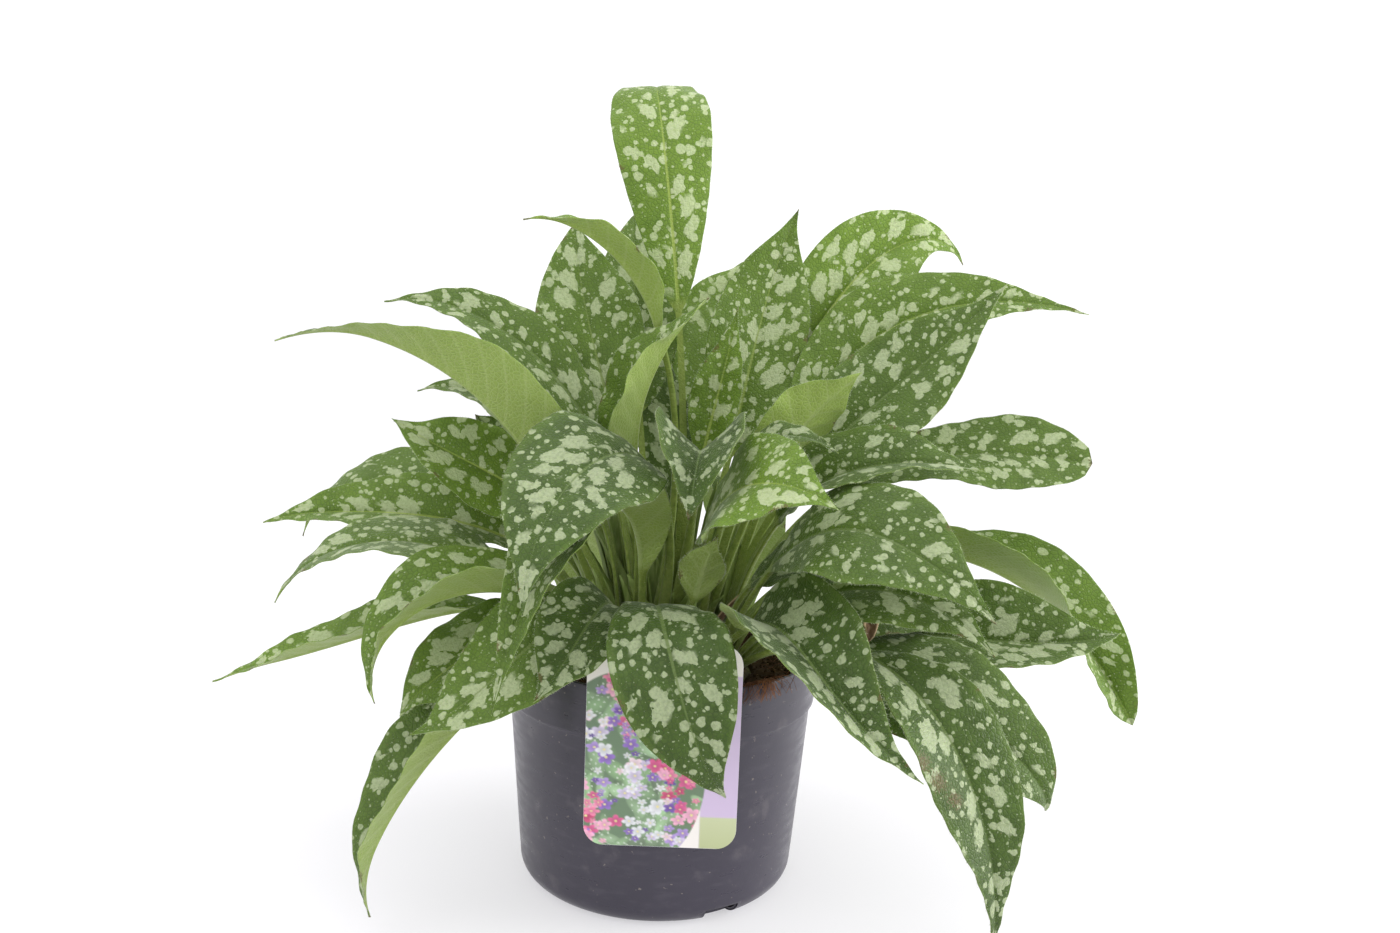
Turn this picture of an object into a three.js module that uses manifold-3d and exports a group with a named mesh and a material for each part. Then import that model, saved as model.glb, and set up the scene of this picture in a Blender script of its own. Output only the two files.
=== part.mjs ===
// A spotted lungwort growing in a round plastic nursery pot, with a hanging picture label.
// Millimetres, +Z up. The origin is on the pot's axis, on the plane that the pot stands on.
// -Y is the side with the label, which is the front, and +X is on the right seen from the front.

import * as THREE from 'three';
import { mergeVertices } from 'three/addons/utils/BufferGeometryUtils.js';
import Module from 'manifold-3d';

// Driving dimensions of the pot
const POT_HEIGHT = 115;
const RIM_RADIUS = 75;
const RIM_BAND = 24.5;
const BAND_STEP = 1.8;
const BAND_SLOPE = 1;
const BASE_RADIUS = 67;
const BASE_CORNER = 10;
const WALL = 1.4;
const RIM_BEVEL = 0.7;
const FOOT_RING_WIDTH = 6;
const CENTRE_DISC_RADIUS = 21;
const CHANNEL_HEIGHT = 4;
const CHANNEL_SLOPE = 2;
const DRAIN_WIDTH = 16;
const DRAIN_LENGTH = 16;
const DRAIN_HEIGHT = 7;
const DRAIN_AZIMUTHS = [-60, 0, 120, 180];
const ROUND_STEPS = 40;

// Driving dimensions of the soil and the crown that the leaves grow from
const SOIL_TOP = 103.5;
const SOIL_BUMP = 0.7;
const SOIL_SINK = 1;
const SOIL_SHOULDERS = [8, 18];
const SOIL_CORNER = 3;
const CROWN_RADIUS = 44;
const CROWN_BASE = 95;
const CROWN_RISE = 13;
const CROWN_STEPS = 24;
const CROWN_SHOULDERS = [[1, 0.4], [0.9, 0.62], [0.6, 0.85], [0.25, 0.97]];
const CROWN_BUMP = 0.5;
const FOOT_HEIGHT = 100;
const GAP = 0.3;

// Driving dimensions of the label
const LABEL_WIDTH = 67;
const LABEL_BOTTOM = 45;
const LABEL_TOP = 137.5;
const LABEL_CORNER = 9;
const LABEL_THICK = 0.8;
const LABEL_SHIFT = 3.5;
const HOOK_WIDTH = 16;
const HOOK_REACH = 9;
const HOOK_CLEARANCE = 1.7;
const CARD_CLEARANCE = 1.5;

// Driving dimensions of the leaves
const STALK_HALF_WIDTH = 2.3;
const TIP_STALK_SHARE = 0.2;
const BLADE_EDGE_THICK = 0.75;
const BLADE_RIB_EXTRA = 0.6;
const STALK_EDGE_THICK = 1.0;
const STALK_RIB_EXTRA = 1.6;
const STALK_STATIONS = 2;
const BLADE_STATIONS = 8;
const SECTION_PLACES = [-1, -0.5, 0, 0.5, 1];
const EDGE_WAVE = 0.07;
const EDGE_WAVES = 2.5;
const SIDE_PHASE = 0.21;
const LEAF_PHASE = 0.37;
const TIP_NARROWING = 0.3;
const HOOK_START = 0.78;
const SWAY_START = 0.72;
const OPEN_HALF_WIDTH = 12;
const STALK_END_HALF_WIDTH = 3;
const BLADE_FULL_HALF_WIDTH = 11;
const SOCKET_PLACES = [-1, 0, 1];
const SOCKET_CLEARANCE = 0.42;

// Usual form of a leaf, where its own line says nothing else: degrees, millimetres and shares of its length
const USUAL_LEAF = {
  roll: 0,
  twist: 0,
  fold: 12,
  cup: -0.1,
  stalk: 0.35,
  belly: 0.85,
  blunt: 1,
  hook: 3,
  sway: 0,
};

// One leaf: where its foot stands in the crown (azimuth, radius), three points that its midrib passes
// (a third of the way, two thirds, tip), the azimuth that it faces, its width and what is its own
function leaf(name, foot, low, high, tip, facing, wide, own = {}) {
  return { ...USUAL_LEAF, name, foot, low, high, tip, facing, wide, ...own };
}

const LEAVES = [
  // Tall leaves in the middle and behind
  leaf('tall_back', [100, 6], [6, 8, 222], [-7, 14, 347], [-13, 60, 373], 93, 48,
    { twist: -8, fold: 2, cup: -0.12, stalk: 0.46, belly: 1.1, blunt: 0.6, hook: 0, sway: -6 }),
  leaf('arch_left_high', [215, 12], [4, 4, 208], [-15, -8, 285], [-66, -36, 318], 200, 32,
    { fold: 30, cup: 0, stalk: 0.56 }),
  leaf('broad_back_left', [125, 14], [-20, 14, 187], [-39, 30, 253], [-53, 50, 315], 100, 54,
    { roll: -5, fold: 8, stalk: 0.46, belly: 1, blunt: 0.8 }),
  leaf('back_centre_left', [100, 20], [-12, 24, 185], [-20, 50, 258], [-24, 78, 322], 95, 46,
    { roll: 10, fold: 10, cup: 0, stalk: 0.5, belly: 0.9, blunt: 0.8 }),
  leaf('centre_upright', [215, 18], [-15, -12, 185], [-13, -18, 233], [13, -26, 285], -10, 50,
    { roll: 25, fold: 42, cup: 0, stalk: 0.42 }),
  leaf('right_upright', [90, 15], [24, 13, 181], [40, 32, 259], [59, 42, 326], 85, 50,
    { roll: 10, cup: -0.05, stalk: 0.43, hook: 0 }),
  leaf('back_centre_right', [80, 20], [11, 26, 196], [19, 58, 259], [34, 86, 301], 75, 46,
    { fold: 15, cup: 0, stalk: 0.45 }),
  leaf('young_centre', [40, 9], [13, 4, 185], [21, 6, 231], [30, 6, 278], 75, 26,
    { fold: 20, cup: 0, stalk: 0.45, hook: 0 }),
  leaf('front_funnel', [275, 12], [13, -14, 186], [15, -52, 218], [11, -88, 194], 270, 46,
    { fold: 34, cup: 0.2, stalk: 0.4, belly: 1.2, hook: 0 }),

  // Leaves on the left, from the highest to the lowest
  leaf('left_high', [170, 14], [-27, 8, 192], [-71, 13, 255], [-137, 4, 278], 172, 38,
    { roll: -35, fold: 20, stalk: 0.42, belly: 0.8, hook: 4 }),
  leaf('left_arched', [190, 17], [-44, -20, 173], [-88, -38, 239], [-178, -34, 266], 188, 62,
    { roll: 40, twist: -55, fold: 25, cup: 0, belly: 0.7, hook: 9 }),
  leaf('left_behind', [178, 22], [-31, 9, 173], [-69, 14, 221], [-123, 10, 235], 178, 36,
    { roll: -30, fold: 15, cup: 0, stalk: 0.4 }),
  leaf('left_mid', [184, 26], [-42, -5, 165], [-87, -12, 199], [-128, -15, 223], 182, 46,
    { roll: -50, fold: 15, cup: 0 }),
  leaf('left_back_low', [165, 28], [-60, 22, 161], [-132, 42, 184], [-193, 40, 154], 168, 42,
    { roll: -30, fold: 15, hook: 5 }),
  leaf('left_long', [180, 30], [-66, 2, 157], [-129, 3, 173], [-192, -8, 172], 183, 44,
    { roll: -35, fold: 30, belly: 0.8, hook: 5 }),
  leaf('left_low', [193, 31], [-64, -27, 146], [-119, -38, 169], [-178, -48, 144], 188, 46,
    { roll: -12, fold: 15, belly: 0.8, hook: 5 }),
  leaf('left_front', [200, 28], [-54, -41, 145], [-99, -70, 149], [-124, -92, 111], 207, 51,
    { roll: -8, fold: 50, stalk: 0.25, belly: 0.8, hook: 6 }),
  leaf('left_lowest', [188, 34], [-75, -14, 134], [-142, -20, 118], [-207, -35, 104], 186, 36,
    { roll: -5, fold: 32, cup: 0, hook: 6 }),
  leaf('left_front_low', [211, 34], [-53, -40, 133], [-87, -66, 123], [-109, -86, 106], 212, 46,
    { roll: -25, fold: 10, stalk: 0.25, belly: 0.8 }),
  leaf('left_trailing', [223, 39], [-50, -50, 120], [-97, -80, 82], [-127, -90, 12], 212, 46,
    { roll: 5, fold: 42, cup: 0, belly: 0.95, hook: 6 }),
  leaf('left_young', [165, 24], [-45, 10, 161], [-79, 9, 185], [-108, 6, 195], 175, 20,
    { roll: -30, fold: 20, cup: 0, stalk: 0.5, belly: 0.9, hook: 0 }),
  leaf('back_left_mid', [155, 22], [-34, 22, 169], [-62, 36, 217], [-87, 44, 250], 165, 40,
    { roll: -25, cup: 0, stalk: 0.4, hook: 2 }),
  leaf('back_left_rounded', [160, 33], [-41, 26, 155], [-76, 36, 196], [-99, 38, 218], 165, 36,
    { roll: -30, fold: 10, cup: 0, belly: 0.9, hook: 0 }),

  // Leaves in front
  leaf('front_left_broad', [250, 19], [-2, -32, 199], [-32, -78, 213], [-52, -130, 164], 232, 64,
    { roll: -26, cup: -0.15, stalk: 0.4, belly: 0.76, hook: 4 }),
  leaf('front_left_fold', [238, 27], [-13, -31, 177], [-37, -76, 190], [-66, -118, 117], 238, 54,
    { roll: -20, fold: 42, cup: 0, stalk: 0.2, belly: 0.9, hook: 4 }),
  leaf('front_left_low', [225, 32], [-36, -64, 145], [-65, -92, 127], [-99, -108, 107], 222, 51,
    { roll: -24, fold: 8, stalk: 0.2, belly: 0.8 }),
  leaf('front_left_dark', [240, 30], [-22, -51, 147], [-33, -84, 141], [-48, -113, 124], 232, 44,
    { roll: -20, fold: 10, cup: 0, stalk: 0.22, hook: 2 }),
  leaf('front_centre', [-90, 33], [-1, -72, 153], [10, -110, 129], [31, -112, 82], -88, 53,
    { fold: 8, stalk: 0.17, belly: 1.05, hook: 2 }),
  leaf('young_front', [-80, 22], [14, -36, 144], [18, -43, 162], [24, -49, 180], -90, 22,
    { fold: 20, cup: 0, hook: 0 }),
  leaf('front_right_low', [-64, 33], [45, -66, 145], [68, -110, 135], [106, -142, 108], -56, 54,
    { roll: 14, fold: 32, cup: 0.15, stalk: 0.24, belly: 0.62 }),
  leaf('front_right_bright', [315, 20], [16, -35, 171], [35, -74, 207], [71, -104, 205], -48, 56,
    { roll: 45, fold: 10, cup: -0.05, stalk: 0.36, belly: 0.8 }),
  leaf('front_right_broad', [-38, 28], [56, -58, 177], [93, -91, 190], [136, -116, 164], -40, 56,
    { roll: 40, fold: 10, cup: -0.12, stalk: 0.25, belly: 0.8, hook: 5 }),
  leaf('front_right_second', [-46, 33], [61, -58, 152], [101, -82, 165], [137, -108, 148], -42, 44,
    { roll: 35, fold: 10, stalk: 0.22, belly: 0.8, hook: 2 }),
  leaf('front_right_trailing', [-52, 36], [74, -72, 139], [120, -110, 113], [145, -120, 23], -52, 47,
    { roll: 14, fold: 20, stalk: 0.4, belly: 0.95, hook: 4 }),

  // Leaves on the right, from the highest to the lowest
  leaf('right_hook', [40, 20], [38, 20, 193], [84, 48, 286], [147, 52, 311], 25, 54,
    { roll: 58, fold: 20, stalk: 0.42, belly: 0.95, hook: 12 }),
  leaf('right_long', [16, 22], [52, 14, 200], [104, 30, 268], [200, 18, 283], 18, 52,
    { roll: 50, fold: 22, stalk: 0.4, belly: 0.8 }),
  leaf('right_broad', [2, 25], [53, -6, 186], [101, -8, 241], [152, -10, 295], 12, 55,
    { roll: 45, cup: -0.05, stalk: 0.38, hook: 2 }),
  leaf('right_young', [0, 14], [37, -11, 179], [60, -19, 225], [86, -29, 253], 0, 38,
    { roll: -60, fold: 10, cup: 0, stalk: 0.4, hook: 0 }),
  leaf('right_spoon', [13, 28], [64, 2, 177], [124, 8, 209], [202, 0, 211], 3, 47,
    { roll: 32, twist: 25, stalk: 0.42, belly: 2.4, blunt: 0.38, hook: 0 }),
  leaf('right_level', [-8, 27], [49, -22, 178], [87, -42, 211], [139, -56, 216], -8, 46,
    { roll: 30, fold: 32, belly: 0.8, hook: 2 }),
  leaf('small_dark', [-25, 18], [26, -18, 184], [44, -36, 221], [75, -57, 222], -30, 20,
    { roll: 20, fold: 30, stalk: 0.38, hook: 2 }),
  leaf('right_shaded', [-22, 26], [38, -28, 150], [62, -36, 167], [93, -43, 182], -22, 32,
    { roll: 26, fold: 10, belly: 0.8, hook: 2 }),
  leaf('right_arched', [7, 31], [80, 12, 154], [158, 8, 156], [226, -22, 89], -5, 56,
    { roll: -35, twist: 120, fold: 44, cup: 0, stalk: 0.3, belly: 1.8, blunt: 0.65 }),
  leaf('right_under', [-4, 34], [80, -9, 141], [136, -13, 150], [188, -20, 141], -4, 33,
    { fold: 15, cup: 0, stalk: 0.3, hook: 2 }),
  leaf('right_dark', [-30, 32], [59, -36, 139], [96, -46, 150], [140, -54, 138], -32, 42,
    { roll: 32, stalk: 0.25, hook: 2 }),
  leaf('right_low', [-14, 34], [81, -24, 130], [147, -45, 135], [204, -55, 145], -15, 54,
    { roll: 42, fold: 30, cup: 0, stalk: 0.3, belly: 1, hook: 2 }),
  leaf('right_hanging', [-36, 36], [75, -55, 130], [135, -91, 113], [166, -103, 78], -38, 58,
    { roll: 28, fold: 10, stalk: 0.3, belly: 0.75 }),

  // Leaves on the side away from the label
  leaf('back_right_mid', [48, 28], [40, 45, 172], [76, 86, 205], [106, 120, 182], 48, 50, { hook: 4 }),
  leaf('back_right_low', [32, 33], [69, 42, 142], [116, 72, 140], [152, 92, 104], 32, 48,
    { fold: 15, cup: 0, stalk: 0.3, hook: 4 }),
  leaf('back_right_drooping', [62, 34], [24, 62, 160], [36, 98, 178], [42, 132, 62], 62, 58,
    { fold: 15, stalk: 0.3, belly: 1.8, hook: 4 }),
  leaf('back_mid', [82, 26], [6, 40, 194], [3, 76, 244], [2, 112, 262], 82, 62, { stalk: 0.22, hook: 4 }),
  leaf('back_low', [94, 34], [-6, 70, 160], [-10, 112, 174], [-12, 142, 62], 94, 60,
    { fold: 18, stalk: 0.3, belly: 1.8, hook: 4 }),
  leaf('back_left_arched', [118, 27], [-28, 54, 172], [-53, 102, 193], [-76, 146, 166], 118, 50, { hook: 4 }),
  leaf('back_left_low', [124, 34], [-31, 56, 157], [-43, 82, 164], [-48, 106, 64], 124, 54,
    { fold: 15, stalk: 0.3, belly: 1.8, hook: 4 }),
  leaf('back_left_drooping', [147, 33], [-66, 44, 148], [-106, 72, 148], [-140, 96, 116], 147, 46,
    { stalk: 0.3, hook: 4 }),
];

// A dead leaf, dry and folded, that hangs over the rim on the right
const DRY_LEAF = leaf('dry_leaf', [-54, 26], [48, -23, 153], [84, -50, 155], [86, -72, 133], -50, 15,
  { fold: 55, cup: 0.1, stalk: 0.3, hook: 6 });

// Colours and finishes
function material(color, roughness) {
  return new THREE.MeshStandardMaterial({ color, roughness, metalness: 0 });
}

const POT_PLASTIC = { color: 0x4b4752, roughness: 0.5 };
const SOIL_EARTH = { color: 0x3a2a20, roughness: 1 };
const CROWN_GREEN = { color: 0x5d6b35, roughness: 0.8 };
const LABEL_CARD = { color: 0xd9cfe0, roughness: 0.4 };
const DRY_BROWN = { color: 0x5a3f35, roughness: 0.9 };
const LEAF_GREENS = [0x4c6f2c, 0x557a30, 0x466a30, 0x5f8a35];
const LEAF_ROUGHNESS = 0.55;

// Manifold solids from three.js geometries, and back
const wasm = await Module();
wasm.setup();

function toSolid(geometry) {
  const bare = geometry.clone();
  bare.deleteAttribute('normal');
  bare.deleteAttribute('uv');
  const merged = mergeVertices(bare, 1e-4);
  const mesh = new wasm.Mesh({
    numProp: 3,
    vertProperties: new Float32Array(merged.attributes.position.array),
    triVerts: new Uint32Array(merged.index.array),
  });
  return new wasm.Manifold(mesh);
}

function toGeometry(solid) {
  const mesh = solid.getMesh();
  const geometry = new THREE.BufferGeometry();
  geometry.setAttribute('position', new THREE.BufferAttribute(new Float32Array(mesh.vertProperties), 3));
  geometry.setIndex(new THREE.BufferAttribute(new Uint32Array(mesh.triVerts), 1));
  return geometry;
}

// Small helpers
function radians(degrees) {
  return THREE.MathUtils.degToRad(degrees);
}

function clamp01(value) {
  return Math.min(1, Math.max(0, value));
}

// Gentle lumps, the same wherever they are asked for
function lumps(x, y) {
  return Math.sin(0.31 * x + 1.3) * Math.cos(0.27 * y) + 0.5 * Math.sin(0.63 * y + 0.4 * x);
}

// A profile of [radius, height] pairs turned about the Z axis
function turned(profile, steps = ROUND_STEPS) {
  const points = profile.map(([radius, height]) => new THREE.Vector2(radius, height));
  return new THREE.LatheGeometry(points, steps).rotateX(Math.PI / 2);
}

// The quarter round from the standing face of the foot ring to the wall, as [radius, height] pairs
function baseCorner(inset) {
  const centre = [BASE_RADIUS - BASE_CORNER, BASE_CORNER];
  const radius = BASE_CORNER - inset;
  return [-90, -65, -40, -15].map((degrees) => [
    centre[0] + radius * Math.cos(radians(degrees)),
    centre[1] + radius * Math.sin(radians(degrees)),
  ]);
}

// The wall's outer radius at a height between the base corner and the step under the rim band
function wallRadius(height) {
  const top = POT_HEIGHT - RIM_BAND;
  const share = (height - BASE_CORNER) / (top - BASE_CORNER);
  return BASE_RADIUS + share * (RIM_RADIUS - BAND_STEP - BASE_RADIUS);
}

function makePot() {
  const band = POT_HEIGHT - RIM_BAND;
  const foot = BASE_RADIUS - BASE_CORNER;
  const ring = foot - FOOT_RING_WIDTH;
  const outside = [
    [0, 0],
    [CENTRE_DISC_RADIUS, 0],
    [CENTRE_DISC_RADIUS + CHANNEL_SLOPE, CHANNEL_HEIGHT],
    [ring - CHANNEL_SLOPE, CHANNEL_HEIGHT],
    [ring, 0],
    ...baseCorner(0),
    [wallRadius(band), band],
    [RIM_RADIUS, band + BAND_SLOPE],
    [RIM_RADIUS, POT_HEIGHT - RIM_BEVEL],
    [RIM_RADIUS - RIM_BEVEL, POT_HEIGHT],
  ];
  const inside = [
    [RIM_RADIUS - WALL, POT_HEIGHT],
    [RIM_RADIUS - WALL, band + WALL],
    [wallRadius(band) - WALL, band],
    ...baseCorner(WALL).reverse(),
    [ring + WALL, WALL],
    [ring - CHANNEL_SLOPE + WALL, CHANNEL_HEIGHT + WALL],
    [CENTRE_DISC_RADIUS + CHANNEL_SLOPE - WALL, CHANNEL_HEIGHT + WALL],
    [CENTRE_DISC_RADIUS - WALL, WALL],
    [0, WALL],
  ];
  let pot = toSolid(turned([...outside, ...inside]));
  for (const azimuth of DRAIN_AZIMUTHS) {
    const drain = new THREE.BoxGeometry(DRAIN_LENGTH, DRAIN_WIDTH, 2 * DRAIN_HEIGHT);
    drain.translate(BASE_RADIUS - BASE_CORNER + DRAIN_LENGTH / 2, 0, 0);
    drain.rotateZ(radians(azimuth));
    pot = pot.subtract(toSolid(drain));
  }
  return toGeometry(pot);
}

// Moves the upper vertices of a turned solid up and down by the lumps
function roughen(geometry, above, size) {
  const position = geometry.attributes.position;
  for (let i = 0; i < position.count; i += 1) {
    const z = position.getZ(i);
    if (z > above) position.setZ(i, z + size * lumps(position.getX(i), position.getY(i)));
  }
  return geometry;
}

function makeSoil() {
  const band = POT_HEIGHT - RIM_BAND;
  const bed = CHANNEL_HEIGHT + WALL + GAP;
  const clear = WALL + GAP;
  const profile = [
    [0, bed],
    [BASE_RADIUS - BASE_CORNER + SOIL_CORNER, bed],
    [wallRadius(BASE_CORNER) - clear - 1, BASE_CORNER + SOIL_CORNER],
    [wallRadius(band) - clear - GAP, band + BAND_SLOPE],
    [RIM_RADIUS - clear - GAP, band + 2 * WALL],
    [RIM_RADIUS - clear - GAP, SOIL_TOP - SOIL_SINK],
    ...SOIL_SHOULDERS.map((inset) => [RIM_RADIUS - inset, SOIL_TOP]),
    [CROWN_RADIUS + 2 * GAP, SOIL_TOP - SOIL_SINK],
    [CROWN_RADIUS + 2 * GAP, CROWN_BASE],
    [0, CROWN_BASE],
  ];
  const soil = roughen(turned(profile), SOIL_TOP - 1.5 * SOIL_SINK, SOIL_BUMP);
  return toGeometry(toSolid(soil));
}

// The midrib of a leaf: the cubic that passes the foot, low, high and tip at 0, 1/3, 2/3 and 1
function midrib(row) {
  const [azimuth, radius] = row.foot;
  const foot = new THREE.Vector3(
    radius * Math.cos(radians(azimuth)),
    radius * Math.sin(radians(azimuth)),
    FOOT_HEIGHT,
  );
  const points = [foot, ...[row.low, row.high, row.tip].map((point) => new THREE.Vector3(...point))];
  return (t) => {
    const weights = [
      -4.5 * (t - 1 / 3) * (t - 2 / 3) * (t - 1),
      13.5 * t * (t - 2 / 3) * (t - 1),
      -13.5 * t * (t - 1 / 3) * (t - 1),
      4.5 * t * (t - 1 / 3) * (t - 2 / 3),
    ];
    const place = new THREE.Vector3();
    points.forEach((point, i) => place.addScaledVector(point, weights[i]));
    return place;
  };
}

// Half the width of a leaf at share t of its length, the stalk and the blade together
function halfWidth(row, t) {
  const u = clamp01((t - row.stalk) / (1 - row.stalk));
  const stalk = STALK_HALF_WIDTH * (1 - (1 - TIP_STALK_SHARE) * t);
  const outline = Math.abs(Math.sin(Math.PI * u ** row.belly)) ** row.blunt;
  const blade = (row.wide / 2) * outline * (1 - TIP_NARROWING * u ** 5);
  return Math.hypot(stalk, blade);
}

// The section of a leaf at share t: its centre on the midrib, its side direction and its upper side's
function frameAt(row, rib, t) {
  const step = 1e-3;
  const along = rib(t + step).sub(rib(t - step)).normalize();
  const facing = radians(row.facing);
  const flat = new THREE.Vector3(-Math.sin(facing), Math.cos(facing), 0);
  const side = flat.addScaledVector(along, -flat.dot(along)).normalize();
  const up = new THREE.Vector3().crossVectors(along, side);
  const u = clamp01((t - row.stalk) / (1 - row.stalk));
  const begun = clamp01(t / row.stalk);
  const turn = radians(row.roll * begun * begun * (3 - 2 * begun) + row.twist * u * u);
  const turnedSide = side.clone().multiplyScalar(Math.cos(turn)).addScaledVector(up, Math.sin(turn));
  const turnedUp = up.clone().multiplyScalar(Math.cos(turn)).addScaledVector(side, -Math.sin(turn));
  const centre = rib(t)
    .addScaledVector(turnedUp, -row.hook * clamp01((u - HOOK_START) / (1 - HOOK_START)) ** 2)
    .addScaledVector(turnedSide, row.sway * clamp01((u - SWAY_START) / (1 - SWAY_START)) ** 2);
  return { centre, side: turnedSide, up: turnedUp, u };
}

// The ring of points round a leaf's section: across the upper face, then back across the lower face
function sectionRing(row, rib, t, order, grow = 0, places = SECTION_PLACES) {
  const { centre, side, up, u } = frameAt(row, rib, t);
  const half = halfWidth(row, t);
  const opened = clamp01(half / OPEN_HALF_WIDTH);
  const fold = radians(row.fold) * opened;
  const cup = row.cup * opened;
  const bladeShare = THREE.MathUtils.clamp(
    (half - STALK_END_HALF_WIDTH) / (BLADE_FULL_HALF_WIDTH - STALK_END_HALF_WIDTH),
    0,
    1,
  );
  const upper = [];
  const lower = [];
  for (const v of places) {
    const reach = Math.abs(v);
    const across = (half + grow) * v * Math.cos(fold);
    const phase = EDGE_WAVES * u + LEAF_PHASE * order + (v > 0 ? SIDE_PHASE : 0);
    const wave = EDGE_WAVE * half * v * v * Math.sin(2 * Math.PI * phase) * Math.min(1, 4 * u);
    const height = half * (reach * Math.sin(fold) + cup * v * v) + wave;
    const slope = fold + Math.atan(2 * cup * reach);
    const outward = up
      .clone()
      .multiplyScalar(Math.cos(slope))
      .addScaledVector(side, -Math.sign(v) * Math.sin(slope));
    const blade = BLADE_EDGE_THICK + BLADE_RIB_EXTRA * (1 - reach);
    const stalk = STALK_EDGE_THICK + STALK_RIB_EXTRA * (1 - reach);
    const thick = blade * bladeShare + stalk * (1 - bladeShare);
    const skin = centre.clone().addScaledVector(side, across).addScaledVector(up, height);
    upper.push(skin.clone().addScaledVector(outward, grow));
    lower.push(skin.clone().addScaledVector(outward, -thick - grow));
  }
  return [...upper, ...lower.reverse()];
}

// A closed solid through rings of points, with both faces of the leaf split along the same diagonals
function skinned(rings) {
  const count = rings[0].length;
  const half = count / 2;
  const triangles = [];
  for (let i = 0; i < rings.length - 1; i += 1) {
    for (let j = 0; j < count; j += 1) {
      const a = i * count + j;
      const b = i * count + ((j + 1) % count);
      const c = a + count;
      const d = b + count;
      const onLowerFace = j >= half && j < count - 1;
      if (onLowerFace) triangles.push(a, c, b, b, c, d);
      else triangles.push(a, d, b, a, c, d);
    }
  }
  const last = (rings.length - 1) * count;
  for (let j = 0; j < half - 1; j += 1) {
    const opposite = count - 1 - j;
    triangles.push(j, j + 1, opposite, j + 1, opposite - 1, opposite);
    triangles.push(last + j, last + opposite, last + j + 1);
    triangles.push(last + j + 1, last + opposite, last + opposite - 1);
  }
  const geometry = new THREE.BufferGeometry();
  const corners = rings.flat().flatMap((point) => point.toArray());
  geometry.setAttribute('position', new THREE.Float32BufferAttribute(corners, 3));
  geometry.setIndex(triangles);
  return geometry;
}

function makeLeaf(row, order) {
  const rib = midrib(row);
  const places = [];
  for (let i = 0; i < STALK_STATIONS; i += 1) places.push((row.stalk * i) / STALK_STATIONS);
  const blade = 1 - row.stalk;
  for (let i = 0; i <= BLADE_STATIONS; i += 1) places.push(row.stalk + (blade * i) / BLADE_STATIONS);
  return skinned(places.map((t) => sectionRing(row, rib, t, order)));
}

// The hole that a leaf's foot stands in, a little wider and deeper than the foot
function makeSocket(row, order) {
  const rib = midrib(row);
  const end = row.stalk / STALK_STATIONS;
  const ring = (t) => sectionRing(row, rib, t, order, SOCKET_CLEARANCE, SOCKET_PLACES);
  const down = rib(0).sub(rib(end)).setLength(SOCKET_CLEARANCE);
  const floor = ring(0).map((point) => point.add(down));
  return skinned([floor, ring(end)]);
}

function makeCrown() {
  const base = CROWN_BASE + GAP;
  const shoulders = CROWN_SHOULDERS.map(([out, up]) => [out * CROWN_RADIUS, base + up * CROWN_RISE]);
  const profile = [[0, base], [CROWN_RADIUS, base], ...shoulders, [0, base + CROWN_RISE]];
  let crown = toSolid(roughen(turned(profile, CROWN_STEPS), base + 0.5 * CROWN_RISE, CROWN_BUMP));
  [...LEAVES, DRY_LEAF].forEach((row, order) => {
    crown = crown.subtract(toSolid(makeSocket(row, order)));
  });
  return toGeometry(crown);
}

function roundedCard() {
  const [w, h, r] = [LABEL_WIDTH / 2, LABEL_TOP - LABEL_BOTTOM, LABEL_CORNER];
  const card = new THREE.Shape();
  card.moveTo(-w + r, 0);
  card.lineTo(w - r, 0);
  card.absarc(w - r, r, r, -Math.PI / 2, 0);
  card.lineTo(w, h - r);
  card.absarc(w - r, h - r, r, 0, Math.PI / 2);
  card.lineTo(-w + r, h);
  card.absarc(-w + r, h - r, r, Math.PI / 2, Math.PI);
  card.lineTo(-w, r);
  card.absarc(-w + r, r, r, Math.PI, 1.5 * Math.PI);
  return card;
}

// The label: a printed card in front of the pot, with a tongue that hooks over the rim
function makeLabel() {
  const front = -RIM_RADIUS - CARD_CLEARANCE - LABEL_THICK;
  const flat = { depth: LABEL_THICK, bevelEnabled: false, curveSegments: 5 };
  const card = new THREE.ExtrudeGeometry(roundedCard(), flat);
  card.rotateX(Math.PI / 2);
  card.translate(LABEL_SHIFT, front + LABEL_THICK, LABEL_BOTTOM);

  const over = POT_HEIGHT + GAP;
  const root = front + LABEL_THICK / 4;
  const inner = -RIM_RADIUS + WALL + HOOK_CLEARANCE;
  const tongue = new THREE.Shape();
  tongue.moveTo(root, over);
  tongue.lineTo(inner, over);
  tongue.lineTo(inner, over - HOOK_REACH);
  tongue.lineTo(inner + LABEL_THICK, over - HOOK_REACH);
  tongue.lineTo(inner + LABEL_THICK, over + LABEL_THICK);
  tongue.lineTo(root, over + LABEL_THICK);
  const hook = new THREE.ExtrudeGeometry(tongue, { depth: HOOK_WIDTH, bevelEnabled: false });
  hook.rotateX(Math.PI / 2);
  hook.rotateZ(Math.PI / 2);
  hook.translate(LABEL_SHIFT - HOOK_WIDTH / 2, 0, 0);
  return toGeometry(toSolid(card).add(toSolid(hook)));
}

function named(name, geometry, { color, roughness }) {
  geometry.computeVertexNormals();
  const mesh = new THREE.Mesh(geometry, material(color, roughness));
  mesh.name = name;
  return mesh;
}

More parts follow.
